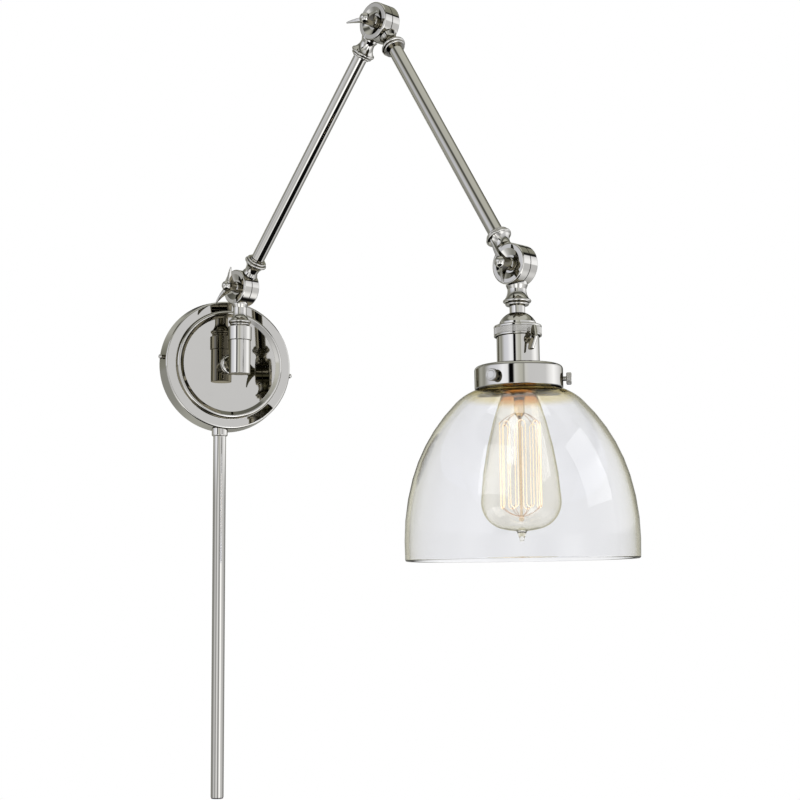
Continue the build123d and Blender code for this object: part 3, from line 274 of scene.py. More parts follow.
def set_world():
    world = bpy.data.worlds.new("studio")
    scene.world = world
    bench = blank(world)
    way = bench.add("ShaderNodeTexCoord").outputs["Generated"]
    height = bench.add("ShaderNodeSeparateXYZ", Vector=way).outputs["Z"]

    def along(direction):
        node = bench.add("ShaderNodeVectorMath", {"operation": "DOT_PRODUCT"})
        bench.feed(node, 0, way)
        bench.feed(node, 1, direction)
        return node.outputs["Value"]

    yaw = radians(-CAMERA_YAW)
    across = along((cos(yaw), -sin(yaw), 0))
    towards = along((-sin(yaw), -cos(yaw), 0))
    # The bearing as a share of a full turn
    turn = bench.math("MULTIPLY_ADD", bench.math("ARCTAN2", across, towards), 0.5 / pi, 0.5)

    def rise(start, end):
        return bench.span(height, start, end, "SMOOTHSTEP")

    def ring(rows):
        return bench.ramp(turn, [((bearing + 180) / 360, grey(*tone)) for bearing, *tone in rows])

    def graded(rows, start, end, change):
        level = bench.math("MULTIPLY_ADD", rise(start, end), change, 1.0)
        node = bench.add("ShaderNodeVectorMath", {"operation": "SCALE"}, Scale=level)
        bench.feed(node, 0, ring(rows))
        return node.outputs[0]

    # Panels stand on a skirt that brightens downwards; a dark gap parts them from the ceiling
    sides = graded(STUDIO_SIDES, *SIDES_DIM)
    skirt = graded(STUDIO_SKIRT, *SKIRT_GAIN)
    tone = bench.mix(rise(*PANEL_FOOT), skirt, sides)
    tone = bench.mix(rise(*EDGE_START), tone, ring(STUDIO_EDGE))
    tone = bench.mix(rise(*GAP_START), tone, ring(STUDIO_GAP))
    tone = bench.mix(rise(*CEILING_START), tone, ring(STUDIO_CEILING))
    seen_in_metal = bench.mix(rise(*NADIR_START), tone, NADIR_TONE)

    path = bench.add("ShaderNodeLightPath").outputs
    capped = bench.mix(1.0, seen_in_metal, WHITE, "DARKEN")
    deep = bench.add("ShaderNodeGamma", Color=capped, Gamma=SECOND_CONTRAST)
    dim = bench.mix(1.0, deep.outputs[0], SECOND_LOOK, "MULTIPLY")
    again = bench.math("GREATER_THAN", path["Glossy Depth"], TWO_BOUNCES)
    reflected = bench.mix(again, seen_in_metal, dim)
    lit = bench.mix(path["Is Glossy Ray"], ROOM_TONE, reflected)

    # The camera sees a white backdrop, also through glass
    mirrored = bench.math("GREATER_THAN", path["Glossy Depth"], ONE_BOUNCE)
    through = bench.math("MULTIPLY_ADD", mirrored, -GLASS_EDGE_STUDIO, 1.0)
    through = bench.math("MULTIPLY", through, path["Is Transmission Ray"])
    white = bench.math("MAXIMUM", path["Is Camera Ray"], through)
    backdrop = bench.mix(mirrored, WHITE, GLASS_EDGE_LIGHT)
    sky = bench.add("ShaderNodeBackground", Color=bench.mix(white, lit, backdrop), Strength=1.0)
    bench.add("ShaderNodeOutputWorld", Surface=sky.outputs[0])


FLOOR_AT = (0, -0.2, -0.9)
FLOOR_R = 2.3
FLOOR_GRAIN = 6.0
FLOOR_TONES = ((0.3, (0.78, 0.78, 0.78)), (0.7, (0.84, 0.84, 0.84)))
FLOOR_GLOW = 0.55


def set_floor():
    disc = bmesh.new()
    bmesh.ops.create_circle(disc, cap_ends=True, segments=96, radius=FLOOR_R)
    mesh = bpy.data.meshes.new("floor")
    disc.to_mesh(mesh)
    disc.free()
    floor = bpy.data.objects.new("floor", mesh)
    floor.location = FLOOR_AT
    scene.collection.objects.link(floor)
    paint = bpy.data.materials.new("floor_paint")
    bench = blank(paint)
    grain = bench.add("ShaderNodeTexNoise", Scale=FLOOR_GRAIN, Detail=3.0)
    matt = bench.add("ShaderNodeBsdfDiffuse", Color=bench.ramp(grain.outputs[0], FLOOR_TONES))
    glow = bench.add("ShaderNodeEmission", Color=WHITE, Strength=FLOOR_GLOW)
    both = bench.add("ShaderNodeAddShader")
    bench.feed(both, 0, matt.outputs[0])
    bench.feed(both, 1, glow.outputs[0])
    path = bench.add("ShaderNodeLightPath").outputs
    seen = bench.math("MAXIMUM", path["Is Camera Ray"], path["Is Transmission Ray"])
    shown = bench.pick(seen, matt.outputs[0], both.outputs[0])
    bench.add("ShaderNodeOutputMaterial", Surface=shown)
    mesh.materials.append(paint)
    floor.visible_glossy = False


SOFTBOX_AIM = Vector((0.08, -0.2, 0.0))
# Name, place, width and watts
SOFTBOXES = (
    ("softbox_left", (-1.3, -1.3, 1.2), 1.2, 14),
    ("softbox_right", (1.6, -1.2, 0.9), 1.2, 10),
    ("softbox_top", (0.1, -0.3, 1.9), 1.4, 14),
)


def set_softbox(name, place, width, watts):
    light = bpy.data.lights.new(name, "AREA")
    light.shape = "SQUARE"
    light.size = width
    light.energy = watts
    softbox = bpy.data.objects.new(name, light)
    softbox.location = place
    softbox.rotation_euler = (SOFTBOX_AIM - Vector(place)).to_track_quat("-Z", "Y").to_euler()
    softbox.visible_glossy = False
    scene.collection.objects.link(softbox)


set_camera()
set_world()
set_floor()
for softbox_row in SOFTBOXES:
    set_softbox(*softbox_row)
scene.view_settings.view_transform = "Standard"


# Finishes

def shader_group(name, inputs, outputs):
    tree = bpy.data.node_groups.new(name, "ShaderNodeTree")
    for label, kind, value in inputs:
        socket = tree.interface.new_socket(label, in_out="INPUT", socket_type=kind)
        socket.default_value = value
    for label, kind in outputs:
        tree.interface.new_socket(label, in_out="OUTPUT", socket_type=kind)
    bench = Bench(tree)
    return bench, bench.add("NodeGroupInput").outputs, bench.add("NodeGroupOutput")


LINE_STRETCH = (1.0, 0.35, 0.08)
SMUDGE_SIZE = 38.0
SMUDGE_RANGE = (0.46, 0.72)
SMUDGE_DIM = 0.05
GRAIN_RANGE = (0.35, 0.68)
GRAIN_ROUGHER = 0.16
SEED_RANGE = (0.05, 0.02)


def make_polish_group():
    """Hairline polishing marks and soft handling smudges: a roughness, a tone and a height."""
    bench, given, result = shader_group(
        "polish_marks",
        [("Roughness", FLOAT, 0.06), ("Smudge", FLOAT, 0.06), ("Line Size", FLOAT, 900.0)],
        [("Roughness", FLOAT), ("Tone", FLOAT), ("Height", FLOAT)],
    )
    place = bench.place()
    stretch = bench.add("ShaderNodeMapping", Vector=place, Scale=LINE_STRETCH)
    hair = bench.noise(stretch.outputs[0], given["Line Size"], Detail=2.0)
    cloud = bench.noise(place, SMUDGE_SIZE, Detail=4.0, Roughness=0.6)
    patch = bench.span(cloud, *SMUDGE_RANGE)
    smear = bench.math("MULTIPLY", patch, given["Smudge"])
    bench.feed(result, "Roughness", bench.math("ADD", given["Roughness"], smear))
    bench.feed(result, "Tone", bench.math("MULTIPLY_ADD", patch, -SMUDGE_DIM, 1.0))
    bench.feed(result, "Height", hair)
    return bench.tree


def make_grain_group():
    """Mottle and pores of pressed and moulded stuff.

    Gives a colour between two tones, a roughness and a height.
    """
    bench, given, result = shader_group(
        "pressed_grain",
        [
            ("Dark", COLOUR, (0.02, 0.02, 0.02, 1)),
            ("Light", COLOUR, (0.05, 0.05, 0.05, 1)),
            ("Grain Size", FLOAT, 900.0),
            ("Roughness", FLOAT, 0.5),
        ],
        [("Color", COLOUR), ("Roughness", FLOAT), ("Height", FLOAT)],
    )
    grain = bench.noise(bench.place(), given["Grain Size"], Detail=5.0, Roughness=0.65)
    spread = bench.span(grain, *GRAIN_RANGE)
    bench.feed(result, "Color", bench.mix(spread, given["Dark"], given["Light"]))
    rough = bench.math("MULTIPLY_ADD", spread, GRAIN_ROUGHER, given["Roughness"])
    bench.feed(result, "Roughness", rough)
    bench.feed(result, "Height", grain)
    return bench.tree


def make_blow_group():
    """Slow waves that blowing leaves in glass: a height, and a faint mask of seeds."""
    bench, given, result = shader_group(
        "blown_waves",
        [("Wave Size", FLOAT, 14.0), ("Seed Size", FLOAT, 420.0)],
        [("Height", FLOAT), ("Seeds", FLOAT)],
    )
    place = bench.place()
    bubble = bench.add("ShaderNodeTexVoronoi", Vector=place, Scale=given["Seed Size"])
    bench.feed(result, "Height", bench.noise(place, given["Wave Size"], Detail=1.0))
    bench.feed(result, "Seeds", bench.span(bubble.outputs["Distance"], *SEED_RANGE))
    return bench.tree


POLISH = make_polish_group()
GRAIN = make_grain_group()
BLOWN = make_blow_group()
# Heights of the relief in metres
LINE_RELIEF = 0.0002
GRAIN_RELIEF = 0.0004
WAVE_RELIEF = 0.002
# What is left of a metal's red, green and blue under a smudge
DULLED = (0.6, 0.58, 0.55)


def new_material(name):
    material = bpy.data.materials.new(name)
    bench = blank(material)
    surface = bench.add("ShaderNodeBsdfPrincipled")
    bench.add("ShaderNodeOutputMaterial", Surface=surface.outputs[0])
    return material, bench, surface


def metal(name, colour, roughness, smudge, line_size, line_depth):
    material, bench, surface = new_material(name)
    marks = bench.add("ShaderNodeGroup", {"node_tree": POLISH}, Roughness=roughness, Smudge=smudge)
    bench.feed(marks, "Line Size", line_size)
    dull = [share * tone for share, tone in zip(DULLED, colour)]
    tone = bench.mix(marks.outputs["Tone"], (*dull, 1), (*colour, 1))
    bench.feed(surface, "Base Color", tone)
    bench.feed(surface, "Roughness", marks.outputs["Roughness"])
    surface.inputs["Metallic"].default_value = 1.0
    if line_depth:
        bench.bump(surface, marks.outputs["Height"], line_depth, LINE_RELIEF)
    return material


def moulded(name, dark, light, roughness, grain_size, depth, coat):
    """Pressed fibre, moulded plastic and rubber."""
    material, bench, surface = new_material(name)
    grain = bench.add("ShaderNodeGroup", {"node_tree": GRAIN}, Roughness=roughness)
    bench.feed(grain, "Dark", (*dark, 1))
    bench.feed(grain, "Light", (*light, 1))
    bench.feed(grain, "Grain Size", grain_size)
    bench.feed(surface, "Base Color", grain.outputs["Color"])
    bench.feed(surface, "Roughness", grain.outputs["Roughness"])
    bench.bump(surface, grain.outputs["Height"], depth, GRAIN_RELIEF)
    surface.inputs["Coat Weight"].default_value = coat
    return material


GLASS_IOR = 1.45
EDGE_END = 0.995
SEED_TONE = (0.9, 0.91, 0.92, 1)
# Warm glow painted onto the glass necks, standing in for the lit brass and the bulb's light seen
# through them, and the two heights of the lamp in metres between which it comes in
PAINTED_NECK_GLOW = ((0.76, 0.66, 0.38), -0.067, -0.0615)
PAINTED_BULB_NECK_GLOW = ((0.9, 0.58, 0.26), -0.074, -0.064)


def glass(name, clear, edge, edge_from, wave_size, wave_depth, painted_glow=None):
    """Blown glass: clear face on, tinted along its edges where the wall is seen end on.

    The last argument paints a warm glow onto a neck, standing in for the lit brass and the bulb's
    light seen through it.
    """
    material, bench, surface = new_material(name)
    facing = bench.add("ShaderNodeLayerWeight", Blend=0.5).outputs["Facing"]
    blown = bench.add("ShaderNodeGroup", {"node_tree": BLOWN}, Wave_Size=wave_size)
    tone = bench.ramp(facing, ((edge_from, clear), (EDGE_END, edge)))
    # Painted warm glow, brought in between two heights of the neck
    if painted_glow:
        colour, start, end = painted_glow
        height = bench.add("ShaderNodeSeparateXYZ", Vector=bench.place()).outputs["Z"]
        tone = bench.mix(bench.span(height, start, end, "SMOOTHSTEP"), tone, (*colour, 1))
    bench.feed(surface, "Base Color", bench.mix(blown.outputs["Seeds"], tone, SEED_TONE))
    bench.bump(surface, blown.outputs["Height"], wave_depth, WAVE_RELIEF)
    surface.inputs["Roughness"].default_value = 0.0
    surface.inputs["IOR"].default_value = GLASS_IOR
    surface.inputs["Transmission Weight"].default_value = 1.0
    # Met first in polished metal, the glass is a plain clear film
    path = bench.add("ShaderNodeLightPath").outputs
    mirrored = bench.math("GREATER_THAN", path["Glossy Depth"], ONE_BOUNCE)
    outside = bench.math("LESS_THAN", path["Transmission Depth"], ONE_BOUNCE)
    film = bench.add("ShaderNodeBsdfTransparent", Color=(*clear, 1))
    met_first = bench.math("MULTIPLY", mirrored, outside)
    shown = bench.pick(met_first, surface.outputs[0], film.outputs[0])
    bench.feed(material.node_tree.get_output_node("ALL"), "Surface", shown)
    return material


COIL_SIZE = 260.0
COIL_TONES = ((0.2, (1.0, 0.76, 0.5)), (0.8, (1.0, 0.92, 0.74)))
GLOW_STRENGTH = 0.85


def glow_wire(name):
    """Coiled filament wire that gives light."""
    material, bench, surface = new_material(name)
    coil = bench.add("ShaderNodeTexWave", {"bands_direction": "Z"}, Vector=bench.place())
    bench.feed(coil, "Scale", COIL_SIZE)
    bench.feed(coil, "Distortion", 1.5)
    warm = bench.ramp(coil.outputs[0], COIL_TONES)
    bench.feed(surface, "Base Color", warm)
    bench.feed(surface, "Emission Color", warm)
    surface.inputs["Emission Strength"].default_value = GLOW_STRENGTH
    surface.inputs["Roughness"].default_value = 0.4
    return material


# Metals: colour, roughness, smudge, and size and depth of the polishing lines
# Moulded stuff: two tones, roughness, size and depth of the grain, and coat
FINISHES = {
    "polished_nickel": metal("polished_nickel", (0.67, 0.66, 0.635), 0.012, 0.018, 900.0, 0.0),
    "plated_steel": metal("zinc_plate", (0.6, 0.6, 0.58), 0.3, 0.15, 700.0, 0.1),
    "green_screw": metal("green_plate", (0.1, 0.34, 0.15), 0.35, 0.15, 700.0, 0.1),
    "brass": metal("brass", (0.79, 0.52, 0.2), 0.16, 0.15, 800.0, 0.05),
    "support_wire": metal("support_copper", (0.72, 0.47, 0.34), 0.3, 0.1, 800.0, 0.0),
    "dark_bushing": moulded(
        "dark_bushing", (0.012, 0.012, 0.012), (0.035, 0.034, 0.033), 0.5, 900.0, 0.2, 0.0
    ),
    "friction_fibre": moulded(
        "friction_fibre", (0.03, 0.02, 0.014), (0.08, 0.055, 0.04), 0.75, 1400.0, 0.5, 0.0
    ),
    "liner_fibre": moulded(
        "liner_fibre", (0.28, 0.2, 0.12), (0.42, 0.32, 0.2), 0.7, 700.0, 0.4, 0.0
    ),
    "moulded_core": moulded(
        "moulded_core", (0.035, 0.022, 0.014), (0.06, 0.036, 0.022), 0.3, 500.0, 0.1, 0.2
    ),
    "black_vitrite": moulded(
        "black_vitrite", (0.006, 0.006, 0.008), (0.02, 0.02, 0.024), 0.15, 400.0, 0.05, 0.4
    ),
    "clear_glass": glass(
        "clear_glass",
        clear=(0.902, 0.906, 0.925),
        edge=(0.86, 0.83, 0.58),
        edge_from=0.9,
        wave_size=14.0,
        wave_depth=0.05,
        painted_glow=PAINTED_NECK_GLOW,
    ),
    "bulb_glass": glass(
        "bulb_glass",
        clear=(0.985, 0.972, 0.93),
        edge=(0.93, 0.9, 0.55),
        edge_from=0.7,
        wave_size=20.0,
        wave_depth=0.04,
        painted_glow=PAINTED_BULB_NECK_GLOW,
    ),
    "mount_glass": glass(
        "mount_glass",
        clear=(0.95, 0.78, 0.6),
        edge=(0.72, 0.42, 0.24),
        edge_from=0.6,
        wave_size=40.0,
        wave_depth=0.05,
    ),
    "filament": glow_wire("filament"),
}
for node in frame["nodes"].values():
    for holder in node.material_slots:
        holder.material = FINISHES[holder.material.name.split(".")[0]]


# Pieces

def link_piece(name, mesh):
    piece = bpy.data.objects.new(name, mesh)
    scene.collection.objects.link(piece)
    return piece


def keep(piece, body, slot, *nodes):
    """The piece rides on a body and hides the nodes it stands in for. The slot is not used."""
    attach(piece, body)
    if nodes:
        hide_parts(*nodes)


def settled(piece):
    """The piece's mesh as its modifiers leave it, and the modifiers gone."""
    ready = piece.evaluated_get(bpy.context.evaluated_depsgraph_get())
    mesh = bpy.data.meshes.new_from_object(ready)
    piece.modifiers.clear()
    mesh.name = piece.name
    return mesh


def frame_at(origin, x_dir, z_dir):
    """Matrix from millimetres in a frame of its own to the lamp's frame in metres."""
    z_dir = z_dir.normalized()
    x_dir = (x_dir - z_dir * x_dir.dot(z_dir)).normalized()
    y_dir = z_dir.cross(x_dir)
    turn = Matrix((x_dir, y_dir, z_dir)).transposed().to_4x4()
    return Matrix.Translation(origin) @ turn @ Matrix.Scale(MM, 4)


# Turned pieces: half sections spun about a line, with the true normal at every point

SPIN = 144
ARC_STEP = 6
# An angle too small to be an arc, and a length too small to be a face
STRAIGHT = 1e-6
CLOSE = 1e-4


def arc_from(start, direction, end):
    """Points and directions along the arc that leaves start in a direction and comes to end."""
    start, end = Vector(start), Vector(end)
    ahead = Vector(direction).normalized()
    left = Vector((-ahead.y, ahead.x))
    chord = end - start
    sweep = 2 * atan2(chord.dot(left), chord.dot(ahead))
    if abs(sweep) < STRAIGHT:
        return [(start, ahead), (end, ahead)]
    radius = chord.length_squared / (2 * chord.dot(left))
    centre = start + left * radius
    steps = max(2, ceil(abs(sweep) / radians(ARC_STEP)))
    run = []
    for step in range(steps + 1):
        turn = Matrix.Rotation(sweep * step / steps, 2)
        run.append((centre - turn @ left * radius, turn @ ahead))
    return run


def bent(corners):
    """Runs along a bent line of corners: radius, height and the round each one turns on.

    A corner with no round is sharp.
    """
    runs = [[]]
    points = [Vector(corner[:2]) for corner in corners]
    for index, point in enumerate(points):
        before = (point - points[index - 1]).normalized() if index else None
        after = (points[index + 1] - point).normalized() if index + 1 < len(points) else None
        turn_r = corners[index][2] if len(corners[index]) > 2 else 0
        if before is None or after is None:
            runs[-1].append((point, after or before))
        elif not turn_r:
            runs[-1].append((point, before))
            runs.append([(point, after)])
        else:
            reach = turn_r * tan(before.angle(after) / 2)
            runs[-1] += arc_from(point - before * reach, before, point + after * reach)
    return runs


def straight(direction, *points):
    """A run through points, with the same direction at each."""
    return [(Vector(point), Vector(direction)) for point in points]


def reverse_run(run):
    return [(point, -direction) for point, direction in reversed(run)]


def inset_run(run, depth):
    """The run moved to its left by a depth, and walked the other way: the inside of a wall."""
    return reverse_run([(point + Vector((-way.y, way.x)) * depth, way) for point, way in run])


def lathe(name, runs, place, body, slot, *nodes, spin=SPIN):
    """Spins runs of section points about the place's Z.

    The outside lies to the right of the way they go.
    """
    verts, faces, normals, rings = [], [], [], {}
    turn = place.to_3x3().normalized()
    angles = [2 * pi * step / spin for step in range(spin)]

    def ring(point):
        key = (round(point.x, 4), round(point.y, 4))
        if key not in rings:
            first = len(verts)
            if point.x < CLOSE:
                verts.append(place @ Vector((0, 0, point.y)))
                rings[key] = [first] * spin
            else:
                for angle in angles:
                    spot = Vector((point.x * cos(angle), point.x * sin(angle), point.y))
                    verts.append(place @ spot)
                rings[key] = list(range(first, first + spin))
        return rings[key]

    def normal(way, step):
        angle = angles[step]
        return turn @ Vector((way.y * cos(angle), way.y * sin(angle), -way.x))

    for run in runs:
        for (start, start_way), (end, end_way) in zip(run, run[1:]):
            if (end - start).length < CLOSE:
                continue
            low, high = ring(start), ring(end)
            for step in range(spin):
                after = (step + 1) % spin
                corners = [(low[step], start_way, step)]
                if low[after] != low[step]:
                    corners.append((low[after], start_way, after))
                corners.append((high[after], end_way, after))
                if high[after] != high[step]:
                    corners.append((high[step], end_way, step))
                faces.append([corner[0] for corner in corners])
                normals += [normal(way, at) for _, way, at in corners]
    mesh = bpy.data.meshes.new(name)
    mesh.from_pydata(verts, [], faces)
    mesh.shade_smooth()
    mesh.normals_split_custom_set(normals)
    mesh.materials.append(FINISHES[slot])
    keep(link_piece(name, mesh), body, slot, *nodes)


# Frames of the lamp's own lines: the wall plate, and the head that hangs from the last knuckle
STEM_OFFSET = 1.6
HEAD_LEAN = 1.2
PIVOT_AXIS = Vector(joints["head_knuckle"]["axis"]).normalized()
REACH = UP.cross(PIVOT_AXIS)
HEAD_DOWN = REACH * sin(radians(HEAD_LEAN)) - UP * cos(radians(HEAD_LEAN))
HEAD_X = -HEAD_DOWN.cross(PIVOT_AXIS)
HEAD_AT = Vector(joints["head_knuckle"]["pos_m"]) - PIVOT_AXIS * STEM_OFFSET * MM
HEAD = frame_at(HEAD_AT, HEAD_X, HEAD_DOWN)
WALL = frame_at(Vector((0, 0, 0)), Vector((1, 0, 0)), Vector((0, -1, 0)))


def radial(joint_name):
    """Frame of a screw that points out of the head, from its own joint."""
    joint = joints[joint_name]
    return frame_at(Vector(joint["pos_m"]), HEAD_DOWN, Vector(joint["axis"]))


# Wall plate: spun sheet with a drafted wall, a rolled edge and a raised panel
PLATE_R = 65.7
PLATE_EDGE = 0.9
PLATE_FRONT_R = 63.4
FLANGE_DEPTH = 20.0
PANEL_DEPTH = 24.2
STEP_OUTER_R = 52.2
STEP_INNER_R = 49.4
PLATE_WALL = 1.5
PLATE_BORE_R = 5.05
PANEL_RIM_R = 52.8
PANEL_RIM_DEPTH = 26.6
PANEL_R = 46.9


def plate_run(*step):
    """The sheet from its free edge over the flange and the step to the middle hole."""
    edge = [(PLATE_R, PLATE_EDGE), (PLATE_FRONT_R, FLANGE_DEPTH, 2.0)]
    return bent([*edge, *step, (PLATE_BORE_R, PANEL_DEPTH)])[0]


# The panel's own rim is rolled up before it drops to the flange; the back is plain
rolled_rim = [
    (PANEL_RIM_R + 1.0, FLANGE_DEPTH, 0.6),
    (PANEL_RIM_R, PANEL_RIM_DEPTH, 2.2),
    (PANEL_R, PANEL_DEPTH, 0.8),
]
plain_step = [(STEP_OUTER_R, FLANGE_DEPTH, 1.0), (STEP_INNER_R, PANEL_DEPTH, 2.0)]
plate_face = plate_run(*rolled_rim)
plate_back = inset_run(plate_run(*plain_step), PLATE_WALL)
plate_rim = arc_from(plate_back[-1][0], plate_back[-1][1], plate_face[0][0])
plate_bore = straight((0, -1), plate_face[-1][0], plate_back[0][0])
plate_runs = [plate_face, plate_bore, plate_back, plate_rim]
lathe("plate_shell", plate_runs, WALL, "wall_mount", "polished_nickel", "wall_plate", spin=192)

# Tubes: both arms and the cord cover
TUBE_R = 6.35
TUBE_EDGE = 0.25
TUBE_SPIN = 96


def tube_section(outer_r, wall, start, end):
    middle = (start + end) / 2
    inner_r = outer_r - wall
    return bent(
        [
            (outer_r, middle),
            (outer_r, end, TUBE_EDGE),
            (inner_r, end, TUBE_EDGE),
            (inner_r, start, TUBE_EDGE),
            (outer_r, start, TUBE_EDGE),
            (outer_r, middle),
        ]
    )


def arm_place(start_joint, end_joint):
    """Frame of an arm tube, on the line between the stems of its two knuckles."""
    start = Vector(joints[start_joint]["pos_m"]) - PIVOT_AXIS * STEM_OFFSET * MM
    end = Vector(joints[end_joint]["pos_m"]) + PIVOT_AXIS * STEM_OFFSET * MM
    return frame_at(start, PIVOT_AXIS, end - start)


ARM_WALL = 1.2
ARM_FROM = 25.1
ARM_END = 260.4
arm_section = tube_section(TUBE_R, ARM_WALL, ARM_FROM, ARM_END)
for arm, *ends in (("lower_arm", "lower_knuckle", "elbow"), ("upper_arm", "elbow", "head_knuckle")):
    place = arm_place(*ends)
    lathe(f"{arm}_pipe", arm_section, place, arm, "polished_nickel", f"{arm}_tube", spin=TUBE_SPIN)

# The cord cover leaves the plate's rim a little beside its lowest point
COVER_BEARING = 5.6
COVER_OFF_WALL = 10.0
COVER_WALL = 1.0
COVER_FROM = 66.9
COVER_END = 425.9
COVER_AT = Vector((-PLATE_R * sin(radians(COVER_BEARING)) * MM, -COVER_OFF_WALL * MM, 0))
COVER = frame_at(COVER_AT, Vector((1, 0, 0)), -UP)
cover_section = tube_section(TUBE_R, COVER_WALL, COVER_FROM, COVER_END)
lathe(
    "cord_cover_pipe",
    cover_section,
    COVER,
    "wall_mount",
    "polished_nickel",
    "cord_cover_tube",
    spin=TUBE_SPIN,
)

# Socket shell and shade holder, drawn cups with rolled edges
SHELL_R = 17.15
SHELL_WALL = 1.0
SHELL_TOP = 51.5
SHELL_END = 90.0
shell_section = tube_section(SHELL_R, SHELL_WALL, SHELL_TOP, SHELL_END)
lathe("shell_sleeve", shell_section, HEAD, "head", "polished_nickel", "socket_shell", spin=128)
HOLDER_R = 35.5
HOLDER_BORE_R = SHELL_R + 0.05
HOLDER_TOP = 82.4
HOLDER_END = 100.5
HOLDER_WALL = 1.4
holder_section = bent(
    [
        (HOLDER_BORE_R, HOLDER_TOP + HOLDER_WALL / 2),
        (HOLDER_BORE_R, HOLDER_TOP, 0.5),
        (HOLDER_R, HOLDER_TOP, 3.2),
        (HOLDER_R, HOLDER_END, 0.45),
        (HOLDER_R - HOLDER_WALL, HOLDER_END, 0.45),
        (HOLDER_R - HOLDER_WALL, HOLDER_TOP + HOLDER_WALL, 1.8),
        (HOLDER_BORE_R, HOLDER_TOP + HOLDER_WALL, 0.2),
        (HOLDER_BORE_R, HOLDER_TOP + HOLDER_WALL / 2),
    ]
)
lathe("holder_cup", holder_section, HEAD, "head", "polished_nickel", "shade_holder", spin=192)

# Socket cap: dome, shoulder and a milled band between two plain rims
CAP_TOP = 39.6
CAP_BORE_R = 5.05
CAP_FLAT_R = 7.45
CAP_DOME_R = 14.8
CAP_DOME_END = 47.2
CAP_BAND_TOP = 49.4
CAP_BAND_R = 19.25
CAP_BAND_END = 58.4
CAP_WALL = 1.2
MILL_FROM = 51.4
MILL_END = 57.0
MILL_DEPTH = 0.35
MILL_SLOPE = 0.3
cap_dome = arc_from((CAP_FLAT_R, CAP_TOP), (2, 1), (CAP_DOME_R, CAP_DOME_END))
cap_band = bent(
    [
        (CAP_DOME_R, CAP_DOME_END),
        (CAP_DOME_R, CAP_BAND_TOP, 0.7),
        (CAP_BAND_R, CAP_BAND_TOP, 1.0),
        (CAP_BAND_R, MILL_FROM, 0.15),
        (CAP_BAND_R - MILL_DEPTH, MILL_FROM + MILL_SLOPE, 0.15),
        (CAP_BAND_R - MILL_DEPTH, MILL_END - MILL_SLOPE, 0.15),
        (CAP_BAND_R, MILL_END, 0.15),
        (CAP_BAND_R, CAP_BAND_END, 0.5),
        (CAP_BAND_R - CAP_WALL, CAP_BAND_END, 0.4),
        (CAP_BAND_R - CAP_WALL, CAP_BAND_TOP + CAP_WALL, 0.5),
        (CAP_DOME_R - CAP_WALL, CAP_BAND_TOP + CAP_WALL, 0.5),
        (CAP_DOME_R - CAP_WALL, CAP_DOME_END + 0.6, 1.5),
        (CAP_FLAT_R, CAP_TOP + CAP_WALL + 0.8, 1.0),
        (CAP_BORE_R, CAP_TOP + CAP_WALL + 0.4),
        (CAP_BORE_R, CAP_TOP),
        (CAP_FLAT_R, CAP_TOP),
    ]
)
lathe("cap_shell", [cap_dome] + cap_band, HEAD, "head", "polished_nickel", "socket_cap")

# Glass shade: lip, neck, shoulder and bell of one wall, fire polished at the mouth
GLASS_T = 3.0
SHADE_NECK_R = 27.0
SHADE_LIP_R = 30.0
SHADE_LIP_TOP = 86.6
SHADE_LIP_END = 89.8
SHADE_SHOULDER = (35.0, 101.6)
SHADE_CROWN = (51.2, 111.8)
SHADE_SIDE = (86.5, 172.0)
SHADE_WIDEST = (93.5, 222.0)
SHADE_END = 237.5
SHADE_MOUTH = (93.2, SHADE_END - GLASS_T / 2)
SHADE_NECK_COVE_R = 4.0


def shade_wall():
    """Outside of the glass from the neck down to the mouth."""
    side = arc_from(SHADE_WIDEST, (0, -1), SHADE_SIDE)
    crown = arc_from(SHADE_SIDE, side[-1][1], SHADE_CROWN)
    shoulder = arc_from(SHADE_CROWN, crown[-1][1], SHADE_SHOULDER)
    inwards = shoulder[-1][1]
    neck_drop = SHADE_SHOULDER[1] + inwards.y / inwards.x * (SHADE_NECK_R - SHADE_SHOULDER[0])
    cove = (SHADE_NECK_R, neck_drop, SHADE_NECK_COVE_R)
    neck = bent([SHADE_SHOULDER, cove, (SHADE_NECK_R, SHADE_LIP_END)])[0]
    mouth = straight((0, -1), SHADE_MOUTH, SHADE_WIDEST)
    return reverse_run(mouth + side[1:] + crown[1:] + shoulder[1:] + neck[1:])


shade_out = shade_wall()
shade_in = inset_run(shade_out, GLASS_T)
shade_rim = arc_from(shade_out[-1][0], shade_out[-1][1], shade_in[0][0])
shade_lip = bent(
    [
        shade_in[-1][0][:],
        (SHADE_NECK_R - GLASS_T, SHADE_LIP_TOP, 1.0),
        (SHADE_LIP_R, SHADE_LIP_TOP, 1.2),
        (SHADE_LIP_R, SHADE_LIP_END, 1.2),
        (SHADE_NECK_R, SHADE_LIP_END),
    ]
)
shade_runs = [shade_out, shade_rim, shade_in] + shade_lip
lathe("shade_glass", shade_runs, HEAD, "head", "clear_glass", "glass_shade", spin=224)

# Bulb: teardrop envelope with its drawn pip
BULB_NECK_R = 12.45
BULB_NECK_TOP = 97.0
BULB_NECK_END = 101.0
BULB_SHOULDER = (21.3, 127.0)
BULB_WIDEST = (32.0, 190.0)
BULB_FOOT = (15.6, 212.6)
BULB_BOTTOM = 214.6
BULB_GLASS_T = 0.9
PIP_R = 4.0
PIP_FLARE = 1.2
PIP_TIP_R = 1.8
PIP_END = 222.5
foot = arc_from((0, BULB_BOTTOM), (1, 0), BULB_FOOT)
turn_in = arc_from(BULB_FOOT, foot[-1][1], BULB_WIDEST)
flank = arc_from(BULB_WIDEST, turn_in[-1][1], BULB_SHOULDER)
throat = arc_from(BULB_SHOULDER, flank[-1][1], (BULB_NECK_R, BULB_NECK_END))
neck_top = straight((0, -1), (BULB_NECK_R, BULB_NECK_TOP))
bulb_body = reverse_run(turn_in + flank[1:] + throat[1:] + neck_top)
bulb_foot = [step for step in reverse_run(foot) if step[0].x > PIP_R + PIP_FLARE]
pip_root = bulb_foot[-1][0]
